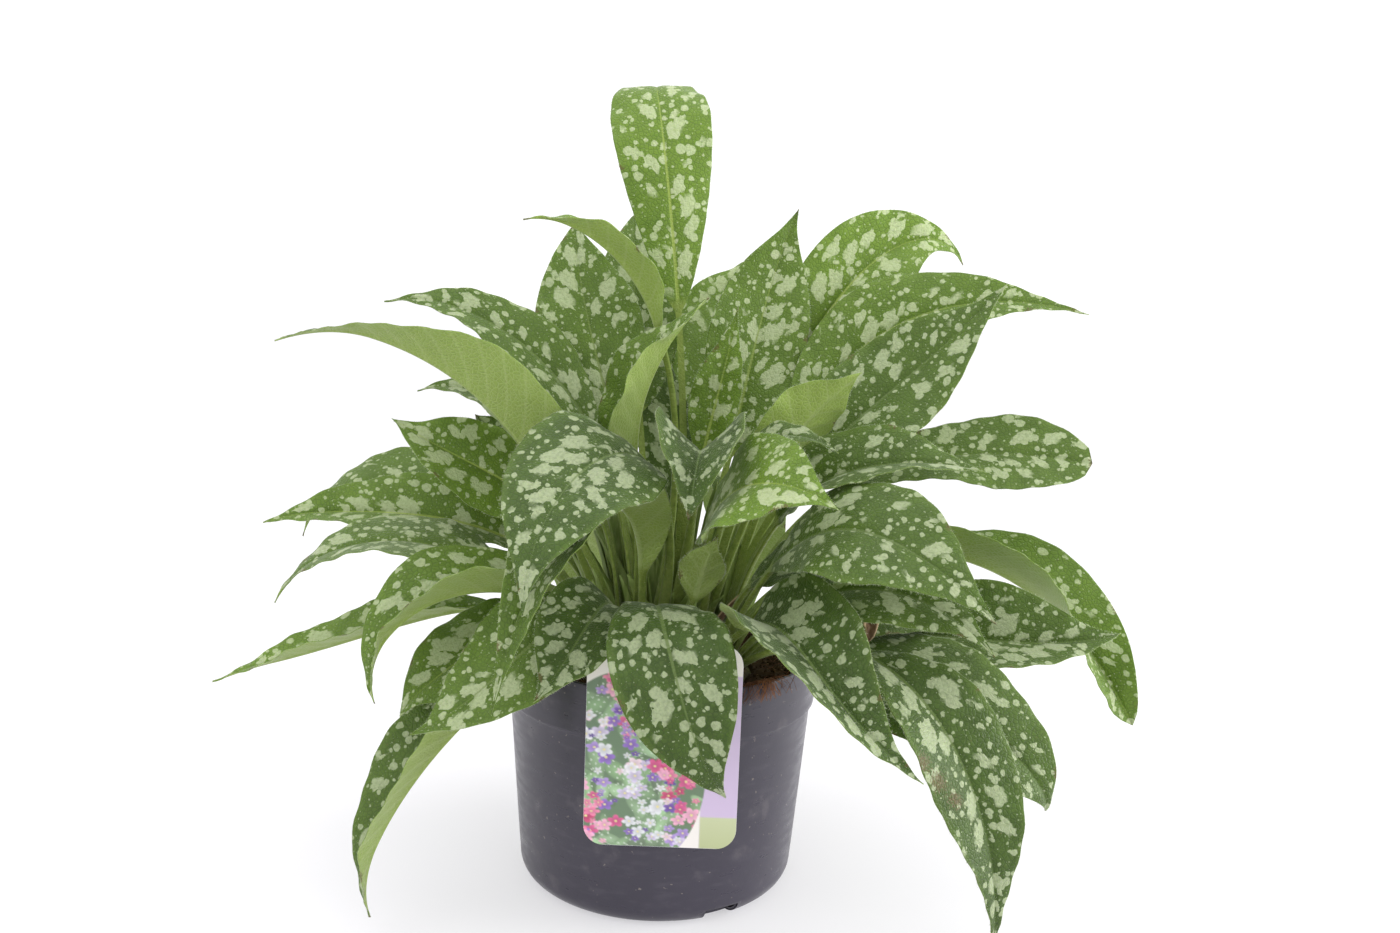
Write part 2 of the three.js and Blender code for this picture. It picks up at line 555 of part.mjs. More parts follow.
const plant = new THREE.Group();
plant.add(named('pot', makePot(), POT_PLASTIC));
plant.add(named('soil', makeSoil(), SOIL_EARTH));
plant.add(named('crown', makeCrown(), CROWN_GREEN));
plant.add(named('label', makeLabel(), LABEL_CARD));
LEAVES.forEach((row, order) => {
  const color = LEAF_GREENS[order % LEAF_GREENS.length];
  plant.add(named(row.name, makeLeaf(row, order), { color, roughness: LEAF_ROUGHNESS }));
});
plant.add(named(DRY_LEAF.name, makeLeaf(DRY_LEAF, LEAVES.length), DRY_BROWN));

export default plant;
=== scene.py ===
"""A spotted lungwort in a round nursery pot: fine leaves with hairs, soil, pot, label, light and camera."""

import math

import bpy
import numpy as np
from mathutils import Matrix


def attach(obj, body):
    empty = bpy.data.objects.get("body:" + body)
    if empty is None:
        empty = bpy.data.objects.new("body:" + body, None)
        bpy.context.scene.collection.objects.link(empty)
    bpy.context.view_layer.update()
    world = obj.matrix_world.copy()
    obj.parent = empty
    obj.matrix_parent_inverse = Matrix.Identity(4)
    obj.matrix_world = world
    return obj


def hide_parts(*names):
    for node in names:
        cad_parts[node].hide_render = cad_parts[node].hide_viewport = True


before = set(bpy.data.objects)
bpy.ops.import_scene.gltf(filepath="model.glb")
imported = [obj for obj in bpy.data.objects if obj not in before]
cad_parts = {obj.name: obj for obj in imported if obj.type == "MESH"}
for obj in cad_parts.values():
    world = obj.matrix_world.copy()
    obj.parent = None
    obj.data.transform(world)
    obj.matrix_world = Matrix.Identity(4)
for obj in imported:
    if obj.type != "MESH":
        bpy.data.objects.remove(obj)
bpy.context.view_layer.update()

MM = 0.001

# Camera: place in metres, pitch and roll in degrees, and the lens for the photograph's 1400 x 933 frame
CAMERA_PLACE = (0.015, -0.610, 0.303)
CAMERA_PITCH = 9.4
CAMERA_ROLL = 2.23
FOCAL_PIXELS = 1293.0
FRAME_WIDTH = 1400
SENSOR_MM = 36.0

# Pot, soil, crown and label, as in the part's source, in millimetres
POT_HEIGHT = 115.0
RIM_RADIUS = 75.0
RIM_BAND = 24.5
BAND_STEP = 1.8
BASE_RADIUS = 67.0
BASE_CORNER = 10.0
WALL = 1.4
FOOT_RING_WIDTH = 6.0
CENTRE_DISC_RADIUS = 21.0
CHANNEL_HEIGHT = 4.0
CHANNEL_SLOPE = 2.0
DRAIN_AZIMUTHS = (-60, 0, 120, 180)
DRAIN_HALF_STEPS = 4
POT_STEPS = 192
HUB_RADIUS = 4.0
CLEARANCE = 0.3
SOIL_STEPS = 160
SOIL_TOP = 103.5
CROWN_RADIUS = 44.0
CROWN_BASE = 95.0
CROWN_RISE = 13.0
CROWN_TOP = CROWN_BASE + CROWN_RISE
FOOT_HEIGHT = 100.0
LABEL_WIDTH = 67.0
LABEL_BOTTOM = 45.0
LABEL_HEIGHT = 92.5
LABEL_CORNER = 9.0
LABEL_SHIFT = 3.5
LABEL_FRONT = -77.3
PRINT_INSET = 0.15
PRINT_THICK = 0.12
PRINT_GRID = (216, 158)

# Leaves, as in the part's source, in millimetres, degrees and shares of a leaf's length
STALK_HALF_WIDTH = 2.3
TIP_STALK_SHARE = 0.2
STALK_EDGE_THICK = 1.0
STALK_RIB_EXTRA = 1.6
EDGE_WAVE = 0.07
EDGE_WAVES = 2.5
SIDE_PHASE = 0.21
LEAF_PHASE = 0.37
TIP_NARROWING = 0.3
HOOK_START = 0.78
SWAY_START = 0.72
OPEN_HALF_WIDTH = 12.0

# Leaf detail that only this model has, in millimetres
BLADE_EDGE_THICK = 0.34
BLADE_RIB_EXTRA = 0.2
STALK_STATIONS = 14
BLADE_STATIONS = 62
BLADE_COLUMNS = 20
VEIN_SPACING = 11.0
VEIN_SLANT = 0.8
VEIN_DEPTH = 0.28
MIDRIB_HALF_WIDTH = 1.1
MIDRIB_DEPTH = 0.5
RIB_HALF_WIDTH = 1.5
RIB_HEIGHT = 1.1
FRILL_HEIGHT = 0.45
FRILL_LENGTH = 13.0
STALK_WING = 1.5
TIP_DRAWN = 0.4
MARGIN_HAIRS = 230
FACE_HAIRS = ((1.0, 420), (-1.0, 160))
HAIR_WIDTH = 0.09
SCARRED_LEAF = "front_right_trailing"
SCARS = [(0.66, -0.75, 7.0), (0.7, -0.55, 6.0), (0.62, -0.9, 6.0)]

# What lies on the soil and stands in the crown
CRUMBS = 1500
FIBRES = 190
RIM_FIBRES = 70
ROOT_HAIRS = 7
STRAND_STEPS = 14
BUD_SCALES = 90
SHEATHS = 84

# roll and twist turn a leaf about its midrib, fold raises its halves and cup rounds them. stalk is the
# stalk's share of the length, belly and blunt shape the outline, hook and sway bend the tip down and
# aside, and tone lightens the colour: partly the leaf's own paler green, and partly painted light and
# shade, set for each leaf to how lit or shaded it is.
USUAL_LEAF = dict(
    roll=0, twist=0, fold=12, cup=-0.1, stalk=0.35, belly=0.85, blunt=1, hook=3, sway=0, tone=0.3
)


def leaf(name, foot, low, high, tip, facing, wide, **own):
    """A leaf's foot (azimuth and radius in the crown), midrib at 1/3, 2/3 and the tip, facing and width."""
    given = dict(name=name, foot=foot, low=low, high=high, tip=tip, facing=facing, wide=wide)
    return {**USUAL_LEAF, **given, **own}


LEAVES = [
    # Tall leaves in the middle and behind
    leaf("tall_back", (100, 6), (6, 8, 222), (-7, 14, 347), (-13, 60, 373), 93, 48,
         twist=-8, fold=2, cup=-0.12, stalk=0.46, belly=1.1, blunt=0.6, hook=0, sway=-6, tone=0.8),
    leaf("arch_left_high", (215, 12), (4, 4, 208), (-15, -8, 285), (-66, -36, 318), 200, 32,
         fold=30, cup=0, stalk=0.56, tone=0.8),
    leaf("broad_back_left", (125, 14), (-20, 14, 187), (-39, 30, 253), (-53, 50, 315), 100, 54,
         roll=-5, fold=8, stalk=0.46, belly=1, blunt=0.8, tone=0.45),
    leaf("back_centre_left", (100, 20), (-12, 24, 185), (-20, 50, 258), (-24, 78, 322), 95, 46,
         roll=10, fold=10, cup=0, stalk=0.5, belly=0.9, blunt=0.8, tone=0.45),
    leaf("centre_upright", (215, 18), (-15, -12, 185), (-13, -18, 233), (13, -26, 285), -10, 50,
         roll=25, fold=42, cup=0, stalk=0.42, tone=0.6),
    leaf("right_upright", (90, 15), (24, 13, 181), (40, 32, 259), (59, 42, 326), 85, 50,
         roll=10, cup=-0.05, stalk=0.43, hook=0, tone=0.55),
    leaf("back_centre_right", (80, 20), (11, 26, 196), (19, 58, 259), (34, 86, 301), 75, 46,
         fold=15, cup=0, stalk=0.45, tone=0.85),
    leaf("young_centre", (40, 9), (13, 4, 185), (21, 6, 231), (30, 6, 278), 75, 26,
         fold=20, cup=0, stalk=0.45, hook=0, tone=0.8),
    leaf("front_funnel", (275, 12), (13, -14, 186), (15, -52, 218), (11, -88, 194), 270, 46,
         fold=34, cup=0.2, stalk=0.4, belly=1.2, hook=0, tone=0),
    # Leaves on the left, from the highest to the lowest
    leaf("left_high", (170, 14), (-27, 8, 192), (-71, 13, 255), (-137, 4, 278), 172, 38,
         roll=-35, fold=20, stalk=0.42, belly=0.8, hook=4, tone=0.35),
    leaf("left_arched", (190, 17), (-44, -20, 173), (-88, -38, 239), (-178, -34, 266), 188, 62,
         roll=40, twist=-55, fold=25, cup=0, belly=0.7, hook=9, tone=0.35),
    leaf("left_behind", (178, 22), (-31, 9, 173), (-69, 14, 221), (-123, 10, 235), 178, 36,
         roll=-30, fold=15, cup=0, stalk=0.4, tone=0.4),
    leaf("left_mid", (184, 26), (-42, -5, 165), (-87, -12, 199), (-128, -15, 223), 182, 46,
         roll=-50, fold=15, cup=0, tone=0.7),
    leaf("left_back_low", (165, 28), (-60, 22, 161), (-132, 42, 184), (-193, 40, 154), 168, 42,
         roll=-30, fold=15, hook=5, tone=0.4),
    leaf("left_long", (180, 30), (-66, 2, 157), (-129, 3, 173), (-192, -8, 172), 183, 44,
         roll=-35, fold=30, belly=0.8, hook=5, tone=0.65),
    leaf("left_low", (193, 31), (-64, -27, 146), (-119, -38, 169), (-178, -48, 144), 188, 46,
         roll=-12, fold=15, belly=0.8, hook=5, tone=0.4),
    leaf("left_front", (200, 28), (-54, -41, 145), (-99, -70, 149), (-124, -92, 111), 207, 51,
         roll=-8, fold=50, stalk=0.25, belly=0.8, hook=6, tone=0.55),
    leaf("left_lowest", (188, 34), (-75, -14, 134), (-142, -20, 118), (-207, -35, 104), 186, 36,
         roll=-5, fold=32, cup=0, hook=6, tone=0.85),
    leaf("left_front_low", (211, 34), (-53, -40, 133), (-87, -66, 123), (-109, -86, 106), 212, 46,
         roll=-25, fold=10, stalk=0.25, belly=0.8, tone=0.55),
    leaf("left_trailing", (223, 39), (-50, -50, 120), (-97, -80, 82), (-127, -90, 12), 212, 46,
         roll=5, fold=42, cup=0, belly=0.95, hook=6, tone=0.25),
    leaf("left_young", (165, 24), (-45, 10, 161), (-79, 9, 185), (-108, 6, 195), 175, 20,
         roll=-30, fold=20, cup=0, stalk=0.5, belly=0.9, hook=0, tone=0.7),
    leaf("back_left_mid", (155, 22), (-34, 22, 169), (-62, 36, 217), (-87, 44, 250), 165, 40,
         roll=-25, cup=0, stalk=0.4, hook=2, tone=0.35),
    leaf("back_left_rounded", (160, 33), (-41, 26, 155), (-76, 36, 196), (-99, 38, 218), 165, 36,
         roll=-30, fold=10, cup=0, belly=0.9, hook=0, tone=0.4),
    # Leaves in front
    leaf("front_left_broad", (250, 19), (-2, -32, 199), (-32, -78, 213), (-52, -130, 164), 232, 64,
         roll=-26, cup=-0.15, stalk=0.4, belly=0.76, hook=4, tone=0.05),
    leaf("front_left_fold", (238, 27), (-13, -31, 177), (-37, -76, 190), (-66, -118, 117), 238, 54,
         roll=-20, fold=42, cup=0, stalk=0.2, belly=0.9, hook=4, tone=0.35),
    leaf("front_left_low", (225, 32), (-36, -64, 145), (-65, -92, 127), (-99, -108, 107), 222, 51,
         roll=-24, fold=8, stalk=0.2, belly=0.8, tone=0.4),
    leaf("front_left_dark", (240, 30), (-22, -51, 147), (-33, -84, 141), (-48, -113, 124), 232, 44,
         roll=-20, fold=10, cup=0, stalk=0.22, hook=2, tone=0),
    leaf("front_centre", (-90, 33), (-1, -72, 153), (10, -110, 129), (31, -112, 82), -88, 53,
         fold=8, stalk=0.17, belly=1.05, hook=2, tone=0),
    leaf("young_front", (-80, 22), (14, -36, 144), (18, -43, 162), (24, -49, 180), -90, 22,
         fold=20, cup=0, hook=0, tone=0),
    leaf("front_right_low", (-64, 33), (45, -66, 145), (68, -110, 135), (106, -142, 108), -56, 54,
         roll=14, fold=32, cup=0.15, stalk=0.24, belly=0.62, tone=0),
    leaf("front_right_bright", (315, 20), (16, -35, 171), (35, -74, 207), (71, -104, 205), -48, 56,
         roll=45, fold=10, cup=-0.05, stalk=0.36, belly=0.8, tone=0.8),
    leaf("front_right_broad", (-38, 28), (56, -58, 177), (93, -91, 190), (136, -116, 164), -40, 56,
         roll=40, fold=10, cup=-0.12, stalk=0.25, belly=0.8, hook=5, tone=0.2),
    leaf("front_right_second", (-46, 33), (61, -58, 152), (101, -82, 165), (137, -108, 148), -42, 44,
         roll=35, fold=10, stalk=0.22, belly=0.8, hook=2, tone=0.2),
    leaf("front_right_trailing", (-52, 36), (74, -72, 139), (120, -110, 113), (145, -120, 23), -52, 47,
         roll=14, fold=20, stalk=0.4, belly=0.95, hook=4, tone=0.05),
    # Leaves on the right, from the highest to the lowest
    leaf("right_hook", (40, 20), (38, 20, 193), (84, 48, 286), (147, 52, 311), 25, 54,
         roll=58, fold=20, stalk=0.42, belly=0.95, hook=12, tone=0.85),
    leaf("right_long", (16, 22), (52, 14, 200), (104, 30, 268), (200, 18, 283), 18, 52,
         roll=50, fold=22, stalk=0.4, belly=0.8, tone=0.55),
    leaf("right_broad", (2, 25), (53, -6, 186), (101, -8, 241), (152, -10, 295), 12, 55,
         roll=45, cup=-0.05, stalk=0.38, hook=2, tone=0.25),
    leaf("right_young", (0, 14), (37, -11, 179), (60, -19, 225), (86, -29, 253), 0, 38,
         roll=-60, fold=10, cup=0, stalk=0.4, hook=0, tone=0.8),
    leaf("right_spoon", (13, 28), (64, 2, 177), (124, 8, 209), (202, 0, 211), 3, 47,
         roll=32, twist=25, stalk=0.42, belly=2.4, blunt=0.38, hook=0, tone=0.35),
    leaf("right_level", (-8, 27), (49, -22, 178), (87, -42, 211), (139, -56, 216), -8, 46,
         roll=30, fold=32, belly=0.8, hook=2, tone=0.2),
    leaf("small_dark", (-25, 18), (26, -18, 184), (44, -36, 221), (75, -57, 222), -30, 20,
         roll=20, fold=30, stalk=0.38, hook=2, tone=0.15),
    leaf("right_shaded", (-22, 26), (38, -28, 150), (62, -36, 167), (93, -43, 182), -22, 32,
         roll=26, fold=10, belly=0.8, hook=2, tone=0.1),
    leaf("right_arched", (7, 31), (80, 12, 154), (158, 8, 156), (226, -22, 89), -5, 56,
         roll=-35, twist=120, fold=44, cup=0, stalk=0.3, belly=1.8, blunt=0.65, tone=0.65),
    leaf("right_under", (-4, 34), (80, -9, 141), (136, -13, 150), (188, -20, 141), -4, 33,
         fold=15, cup=0, stalk=0.3, hook=2, tone=0.15),
    leaf("right_dark", (-30, 32), (59, -36, 139), (96, -46, 150), (140, -54, 138), -32, 42,
         roll=32, stalk=0.25, hook=2, tone=0.1),
    leaf("right_low", (-14, 34), (81, -24, 130), (147, -45, 135), (204, -55, 145), -15, 54,
         roll=42, fold=30, cup=0, stalk=0.3, belly=1, hook=2, tone=0.2),
    leaf("right_hanging", (-36, 36), (75, -55, 130), (135, -91, 113), (166, -103, 78), -38, 58,
         roll=28, fold=10, stalk=0.3, belly=0.75, tone=0.15),
    # Leaves on the side away from the label
    leaf("back_right_mid", (48, 28), (40, 45, 172), (76, 86, 205), (106, 120, 182), 48, 50, hook=4),
    leaf("back_right_low", (32, 33), (69, 42, 142), (116, 72, 140), (152, 92, 104), 32, 48,
         fold=15, cup=0, stalk=0.3, hook=4),
    leaf("back_right_drooping", (62, 34), (24, 62, 160), (36, 98, 178), (42, 132, 62), 62, 58,
         fold=15, stalk=0.3, belly=1.8, hook=4, tone=0.4),
    leaf("back_mid", (82, 26), (6, 40, 194), (3, 76, 244), (2, 112, 262), 82, 62,
         stalk=0.22, hook=4, tone=0.2),
    leaf("back_low", (94, 34), (-6, 70, 160), (-10, 112, 174), (-12, 142, 62), 94, 60,
         fold=18, stalk=0.3, belly=1.8, hook=4),
    leaf("back_left_arched", (118, 27), (-28, 54, 172), (-53, 102, 193), (-76, 146, 166), 118, 50,
         hook=4, tone=0.4),
    leaf("back_left_low", (124, 34), (-31, 56, 157), (-43, 82, 164), (-48, 106, 64), 124, 54,
         fold=15, stalk=0.3, belly=1.8, hook=4, tone=0.25),
    leaf("back_left_drooping", (147, 33), (-66, 44, 148), (-106, 72, 148), (-140, 96, 116), 147, 46,
         stalk=0.3, hook=4, tone=0.35),
]
DRY_LEAF = leaf("dry_leaf", (-54, 26), (48, -23, 153), (84, -50, 155), (86, -72, 133), -50, 15,
                fold=55, cup=0.1, stalk=0.3, hook=6)
YOUNG_LEAVES = {
    "tall_back", "young_centre", "left_young", "young_front", "right_young",
    "right_hook", "right_long", "right_upright", "back_centre_right",
}


# Meshes


def smoothstep(share):
    """0 up to 0, 1 from 1, and 3 s^2 - 2 s^3 between."""
    s = np.clip(share, 0.0, 1.0)
    return s * s * (3.0 - 2.0 * s)


def blend(first, second, share):
    """first at a share of 0, second at 1."""
    return first * (1 - share) + second * share


def unit(rows):
    """The same directions with a length of 1."""
    return rows / np.linalg.norm(rows, axis=-1, keepdims=True)


def columns(*values):
    """Grids of numbers, brought to one shape and stacked along a new last axis."""
    return np.stack(np.broadcast_arrays(*values), axis=-1)


def polar(radius, azimuth, height):
    """Points at a distance from the axis, an azimuth in radians and a height."""
    return columns(radius * np.cos(azimuth), radius * np.sin(azimuth), height)


def linear(red, green, blue):
    """The linear values of an 8-bit screen colour."""
    c = np.array([red, green, blue]) / 255.0
    return np.where(c <= 0.04045, c / 12.92, ((c + 0.055) / 1.055) ** 2.4)


def shade(red, green, blue):
    """A shader colour from an 8-bit screen colour."""
    return (*[float(c) for c in linear(red, green, blue)], 1.0)


def mesh_from(name, points, quads=(), triangles=(), looks=None, smooth=True):
    """A mesh from millimetre points and rows of corner numbers. looks gives each face's material."""
    quads = np.asarray(quads, dtype=np.int32).reshape(-1, 4)
    triangles = np.asarray(triangles, dtype=np.int32).reshape(-1, 3)
    corners = np.concatenate([quads.ravel(), triangles.ravel()])
    sizes = np.concatenate([np.full(len(quads), 4), np.full(len(triangles), 3)])
    starts = np.concatenate([[0], np.cumsum(sizes)[:-1]]).astype(np.int32)
    mesh = bpy.data.meshes.new(name)
    mesh.vertices.add(len(points))
    mesh.vertices.foreach_set("co", (np.asarray(points) * MM).astype(np.float32).ravel())
    mesh.loops.add(len(corners))
    mesh.loops.foreach_set("vertex_index", corners)
    mesh.polygons.add(len(sizes))
    mesh.polygons.foreach_set("loop_start", starts)
    mesh.update(calc_edges=True)
    mesh.polygons.foreach_set("use_smooth", np.full(len(sizes), smooth))
    if looks is not None:
        mesh.polygons.foreach_set("material_index", np.asarray(looks, dtype=np.int32))
    return mesh


def add_object(name, data):
    """Puts a mesh, light or camera into the scene."""
    thing = bpy.data.objects.new(name, data)
    bpy.context.scene.collection.objects.link(thing)
    return thing


def add_piece(mesh, materials, slot, *nodes):
    """Puts a mesh into the scene as a piece that rides on the body, with its materials."""
    piece = add_object(mesh.name, mesh)
    for material in materials:
        mesh.materials.append(material)
    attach(piece, "root")
    for node in nodes:
        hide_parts(node)


def both_faces(mesh, upper, lower):
    """Columns for a shell's upper and lower points, with zeros for any points after them."""
    faces = [columns(*values).reshape(-1, len(values)) for values in (upper, lower)]
    rest = np.zeros((len(mesh.vertices) - 2 * len(faces[0]), len(upper)))
    return np.concatenate([*faces, rest]).astype(np.float32)


def set_uv(mesh, x, y):
    """Gives each corner the (x, y) of its vertex, in tenths of a metre."""
    corners = np.empty(len(mesh.loops), dtype=np.int32)
    mesh.loops.foreach_get("vertex_index", corners)
    places = both_faces(mesh, (x, y), (x, y))
    mesh.uv_layers.new(name="sheet").data.foreach_set("uv", places[corners].ravel())


def set_values(mesh, name, upper, lower):
    """Stores three numbers for each vertex."""
    layer = mesh.attributes.new(name, "FLOAT_VECTOR", "POINT")
    layer.data.foreach_set("vector", both_faces(mesh, upper, lower).ravel())


def shell(upper, lower):
    """Points and quads of a closed shell between two n by m grids of points, stitched all round."""
    n, m = upper.shape[:2]
    top = np.arange(n * m).reshape(n, m)
    under = top + n * m
    sides = (
        (top[:-1, :-1], top[1:, :-1], top[1:, 1:], top[:-1, 1:]),
        (under[:-1, :-1], under[:-1, 1:], under[1:, 1:], under[1:, :-1]),
        (top[:-1, 0], under[:-1, 0], under[1:, 0], top[1:, 0]),
        (top[:-1, -1], top[1:, -1], under[1:, -1], under[:-1, -1]),
        (top[0, :-1], top[0, 1:], under[0, 1:], under[0, :-1]),
        (top[-1, :-1], under[-1, :-1], under[-1, 1:], top[-1, 1:]),
    )
    quads = np.concatenate([columns(*corners).reshape(-1, 4) for corners in sides])
    return np.concatenate([upper.reshape(-1, 3), lower.reshape(-1, 3)]), quads


def turned(profile, steps):
    """A profile of radius and height turned round the axis.

    Gives the points (ring, step, xyz), each point's number, its neighbour's number, and the quads between.
    """
    azimuths = 2 * np.pi * np.arange(steps) / steps
    points = polar(profile[:, :1], azimuths, profile[:, 1:])
    place = np.arange(len(profile) * steps).reshape(-1, steps)
    beside = np.roll(place, -1, axis=1)
    return points, place, beside, columns(place[:-1], beside[:-1], beside[1:], place[1:])


def turned_mesh(name, points, place, beside, quads, hub_heights):
    """The mesh of a turned body, its first and last ring closed by fans round two hubs on the axis."""
    hubs = [[0, 0, height] for height in hub_heights]
    first = place.size
    fans = [columns(first, beside[0], place[0]), columns(first + 1, place[-1], beside[-1])]
    return mesh_from(name, np.concatenate([points.reshape(-1, 3), hubs]), quads, np.concatenate(fans))


def three_round(direction, across):
    """Three directions square to each direction, 120 degrees apart."""
    aside = unit(np.cross(direction, across))
    other = np.cross(direction, aside)
    turns = np.radians([0.0, 120.0, 240.0])[:, None]
    return aside[..., None, :] * np.cos(turns) + other[..., None, :] * np.sin(turns)


def spikes(roots, directions, lengths, rng):
    """Hairs: each is a three-sided spike, with three corners round its root and one at its tip."""
    direction = unit(directions)
    ring = three_round(direction, rng.normal(size=direction.shape))
    base = (roots - 0.1 * direction)[:, None] + 0.5 * HAIR_WIDTH * ring
    tip = (roots + direction * lengths[:, None])[:, None]
    points = np.concatenate([base, tip], axis=1).reshape(-1, 3)
    pattern = np.array([[0, 1, 3], [1, 2, 3], [2, 0, 3], [2, 1, 0]])
    return points, (4 * np.arange(len(roots))[:, None, None] + pattern).reshape(-1, 3)


def strands(paths, widths):
    """Three-sided tubes along paths (strand, point, xyz), tapering to both ends, closed at their ends."""
    count, steps = paths.shape[:2]
    ring = three_round(unit(np.gradient(paths, axis=1)), np.array([0.31, 0.52, 0.79]))
    taper = 0.35 + 0.65 * np.sin(np.pi * np.linspace(0.08, 0.92, steps))
    points = paths[:, :, None] + ring * (0.5 * widths[:, None] * taper)[..., None, None]
    place = np.arange(count * steps * 3).reshape(count, steps, 3)
    beside = np.roll(place, -1, axis=2)
    quads = columns(place[:, :-1], beside[:, :-1], beside[:, 1:], place[:, 1:])
    return points.reshape(-1, 3), quads, np.concatenate([place[:, 0, ::-1], place[:, -1]])


# Leaves


def leaf_frame(row, t):
    """A leaf's sections at shares t: centre, side, upper and lengthwise direction, and u along the blade.

    The midrib is the cubic through foot, low, high and tip at t = 0, 1/3, 2/3 and 1. The side direction is
    level and across the facing azimuth, then turned by roll, which comes on along the stalk, and by twist,
    which comes on along the blade. The tip bends down by hook and aside by sway.
    """
    azimuth, radius = row["foot"]
    foot = polar(radius, math.radians(azimuth), FOOT_HEIGHT)
    points = np.array([foot, row["low"], row["high"], row["tip"]], dtype=float)
    knots = np.arange(4) / 3

    def midrib(s):
        weights = [np.prod([(s - b) / (a - b) for b in knots if b != a], axis=0) for a in knots]
        return columns(*weights) @ points

    step = 1e-3
    along = unit(midrib(t + step) - midrib(t - step))
    facing = math.radians(row["facing"])
    level = np.array([-math.sin(facing), math.cos(facing), 0.0])
    side = unit(level - (along @ level)[:, None] * along)
    up = np.cross(along, side)
    u = np.clip((t - row["stalk"]) / (1 - row["stalk"]), 0, 1)
    turn = np.radians(row["roll"] * smoothstep(t / row["stalk"]) + row["twist"] * u * u)[:, None]
    turned_side = side * np.cos(turn) + up * np.sin(turn)
    turned_up = up * np.cos(turn) - side * np.sin(turn)
    hook = row["hook"] * np.clip((u - HOOK_START) / (1 - HOOK_START), 0, 1) ** 2
    sway = row["sway"] * np.clip((u - SWAY_START) / (1 - SWAY_START), 0, 1) ** 2
    centre = midrib(t) - turned_up * hook[:, None] + turned_side * sway[:, None]
    return centre, turned_side, turned_up, along, u


def leaf_sheet(row, order, t, v):
    """The upper face of a leaf as a grid over shares t along it and v across it, and what goes with it.

    Half the width is the root of the squares of a tapering stalk and of wide/2 |sin(pi u^belly)|^blunt,
    narrowed near the tip, and over the crown the stalk has wings. Across it, the height is
    half (|v| sin fold + cup v^2), plus a waved margin. Over that go a groove along the midrib, side veins
    that run from it towards the tip, sunk above, with the leaf swelling between them, and a frill of the
    margin.
    """
    centre, side, up, along, u = leaf_frame(row, t)
    stalk = STALK_HALF_WIDTH * (1 - (1 - TIP_STALK_SHARE) * t) * (1 - 0.8 * smoothstep((u - 0.9) / 0.1))
    outline = np.abs(np.sin(np.pi * u ** row["belly"])) ** row["blunt"]
    drawn_out = 1 - TIP_DRAWN * smoothstep((u - 0.72) / 0.28) * (row["blunt"] == 1)
    blade = row["wide"] / 2 * outline * (1 - TIP_NARROWING * u ** 5) * drawn_out
    above_crown = smoothstep((centre[:, 2] - CROWN_TOP) / 8)
    wing = STALK_WING * above_crown * (1 - smoothstep(t / (0.8 * row["stalk"])))
    half = (np.hypot(stalk, blade) + wing)[:, None]
    u = u[:, None]
    opened = np.clip(half / OPEN_HALF_WIDTH, 0, 1)
    fold = math.radians(row["fold"]) * opened
    cup = row["cup"] * opened
    spread = np.maximum(np.clip((half - 3.0) / 8.0, 0, 1), smoothstep(u / 0.35))
    reach = np.abs(v)
    lean = np.sign(v)
    phase = EDGE_WAVES * u + LEAF_PHASE * order + np.where(v > 0, SIDE_PHASE, 0.0)
    wave = EDGE_WAVE * half * v**2 * np.sin(2 * np.pi * phase) * np.minimum(1, 4 * u)
    height = half * (reach * np.sin(fold) + cup * v**2) + wave
    slope = fold + np.arctan(2 * cup * reach)
    across = half * v * np.cos(fold)
    side, up = side[:, None], up[:, None]
    sheet = centre[:, None] + side * across[..., None] + up * height[..., None]
    outward = up * np.cos(slope)[..., None] - side * (lean * np.sin(slope))[..., None]

    steps = np.linalg.norm(np.diff(centre, axis=0), axis=1)
    length = np.concatenate([[0.0], np.cumsum(steps)])[:, None]
    lateral = half * v
    distance = np.abs(lateral)
    groove = -MIDRIB_DEPTH * np.exp(-((distance / MIDRIB_HALF_WIDTH) ** 2)) * spread
    vein_phase = (length - VEIN_SLANT * distance + 2.5 * lean + 7.0 * order) / VEIN_SPACING
    vein = (0.5 + 0.5 * np.cos(2 * np.pi * vein_phase)) ** 4
    between = np.clip(distance / 5.0, 0, 1) * np.clip((1 - reach) / 0.3, 0, 1) * spread
    quilt = VEIN_DEPTH * (0.35 - vein) * between
    frill_phase = length / FRILL_LENGTH + 0.31 * order + 0.4 * lean
    frill = FRILL_HEIGHT * reach**4 * spread * np.sin(2 * np.pi * frill_phase)
    sheet = sheet + outward * (groove + quilt + frill)[..., None]
    blade_thick = BLADE_EDGE_THICK + BLADE_RIB_EXTRA * (1 - reach)
    rib = RIB_HEIGHT * np.exp(-((distance / RIB_HALF_WIDTH) ** 2)) * (1 - u) * spread
    stalk_thick = STALK_EDGE_THICK + STALK_RIB_EXTRA * (1 - reach**2)
    thick = blend(stalk_thick, blade_thick + rib + 0.12 * vein * between, spread)
    facts = dict(half=half, spread=spread, length=length, lateral=lateral, side=side[:, 0], along=along)
    return sheet, outward, thick[..., None], facts


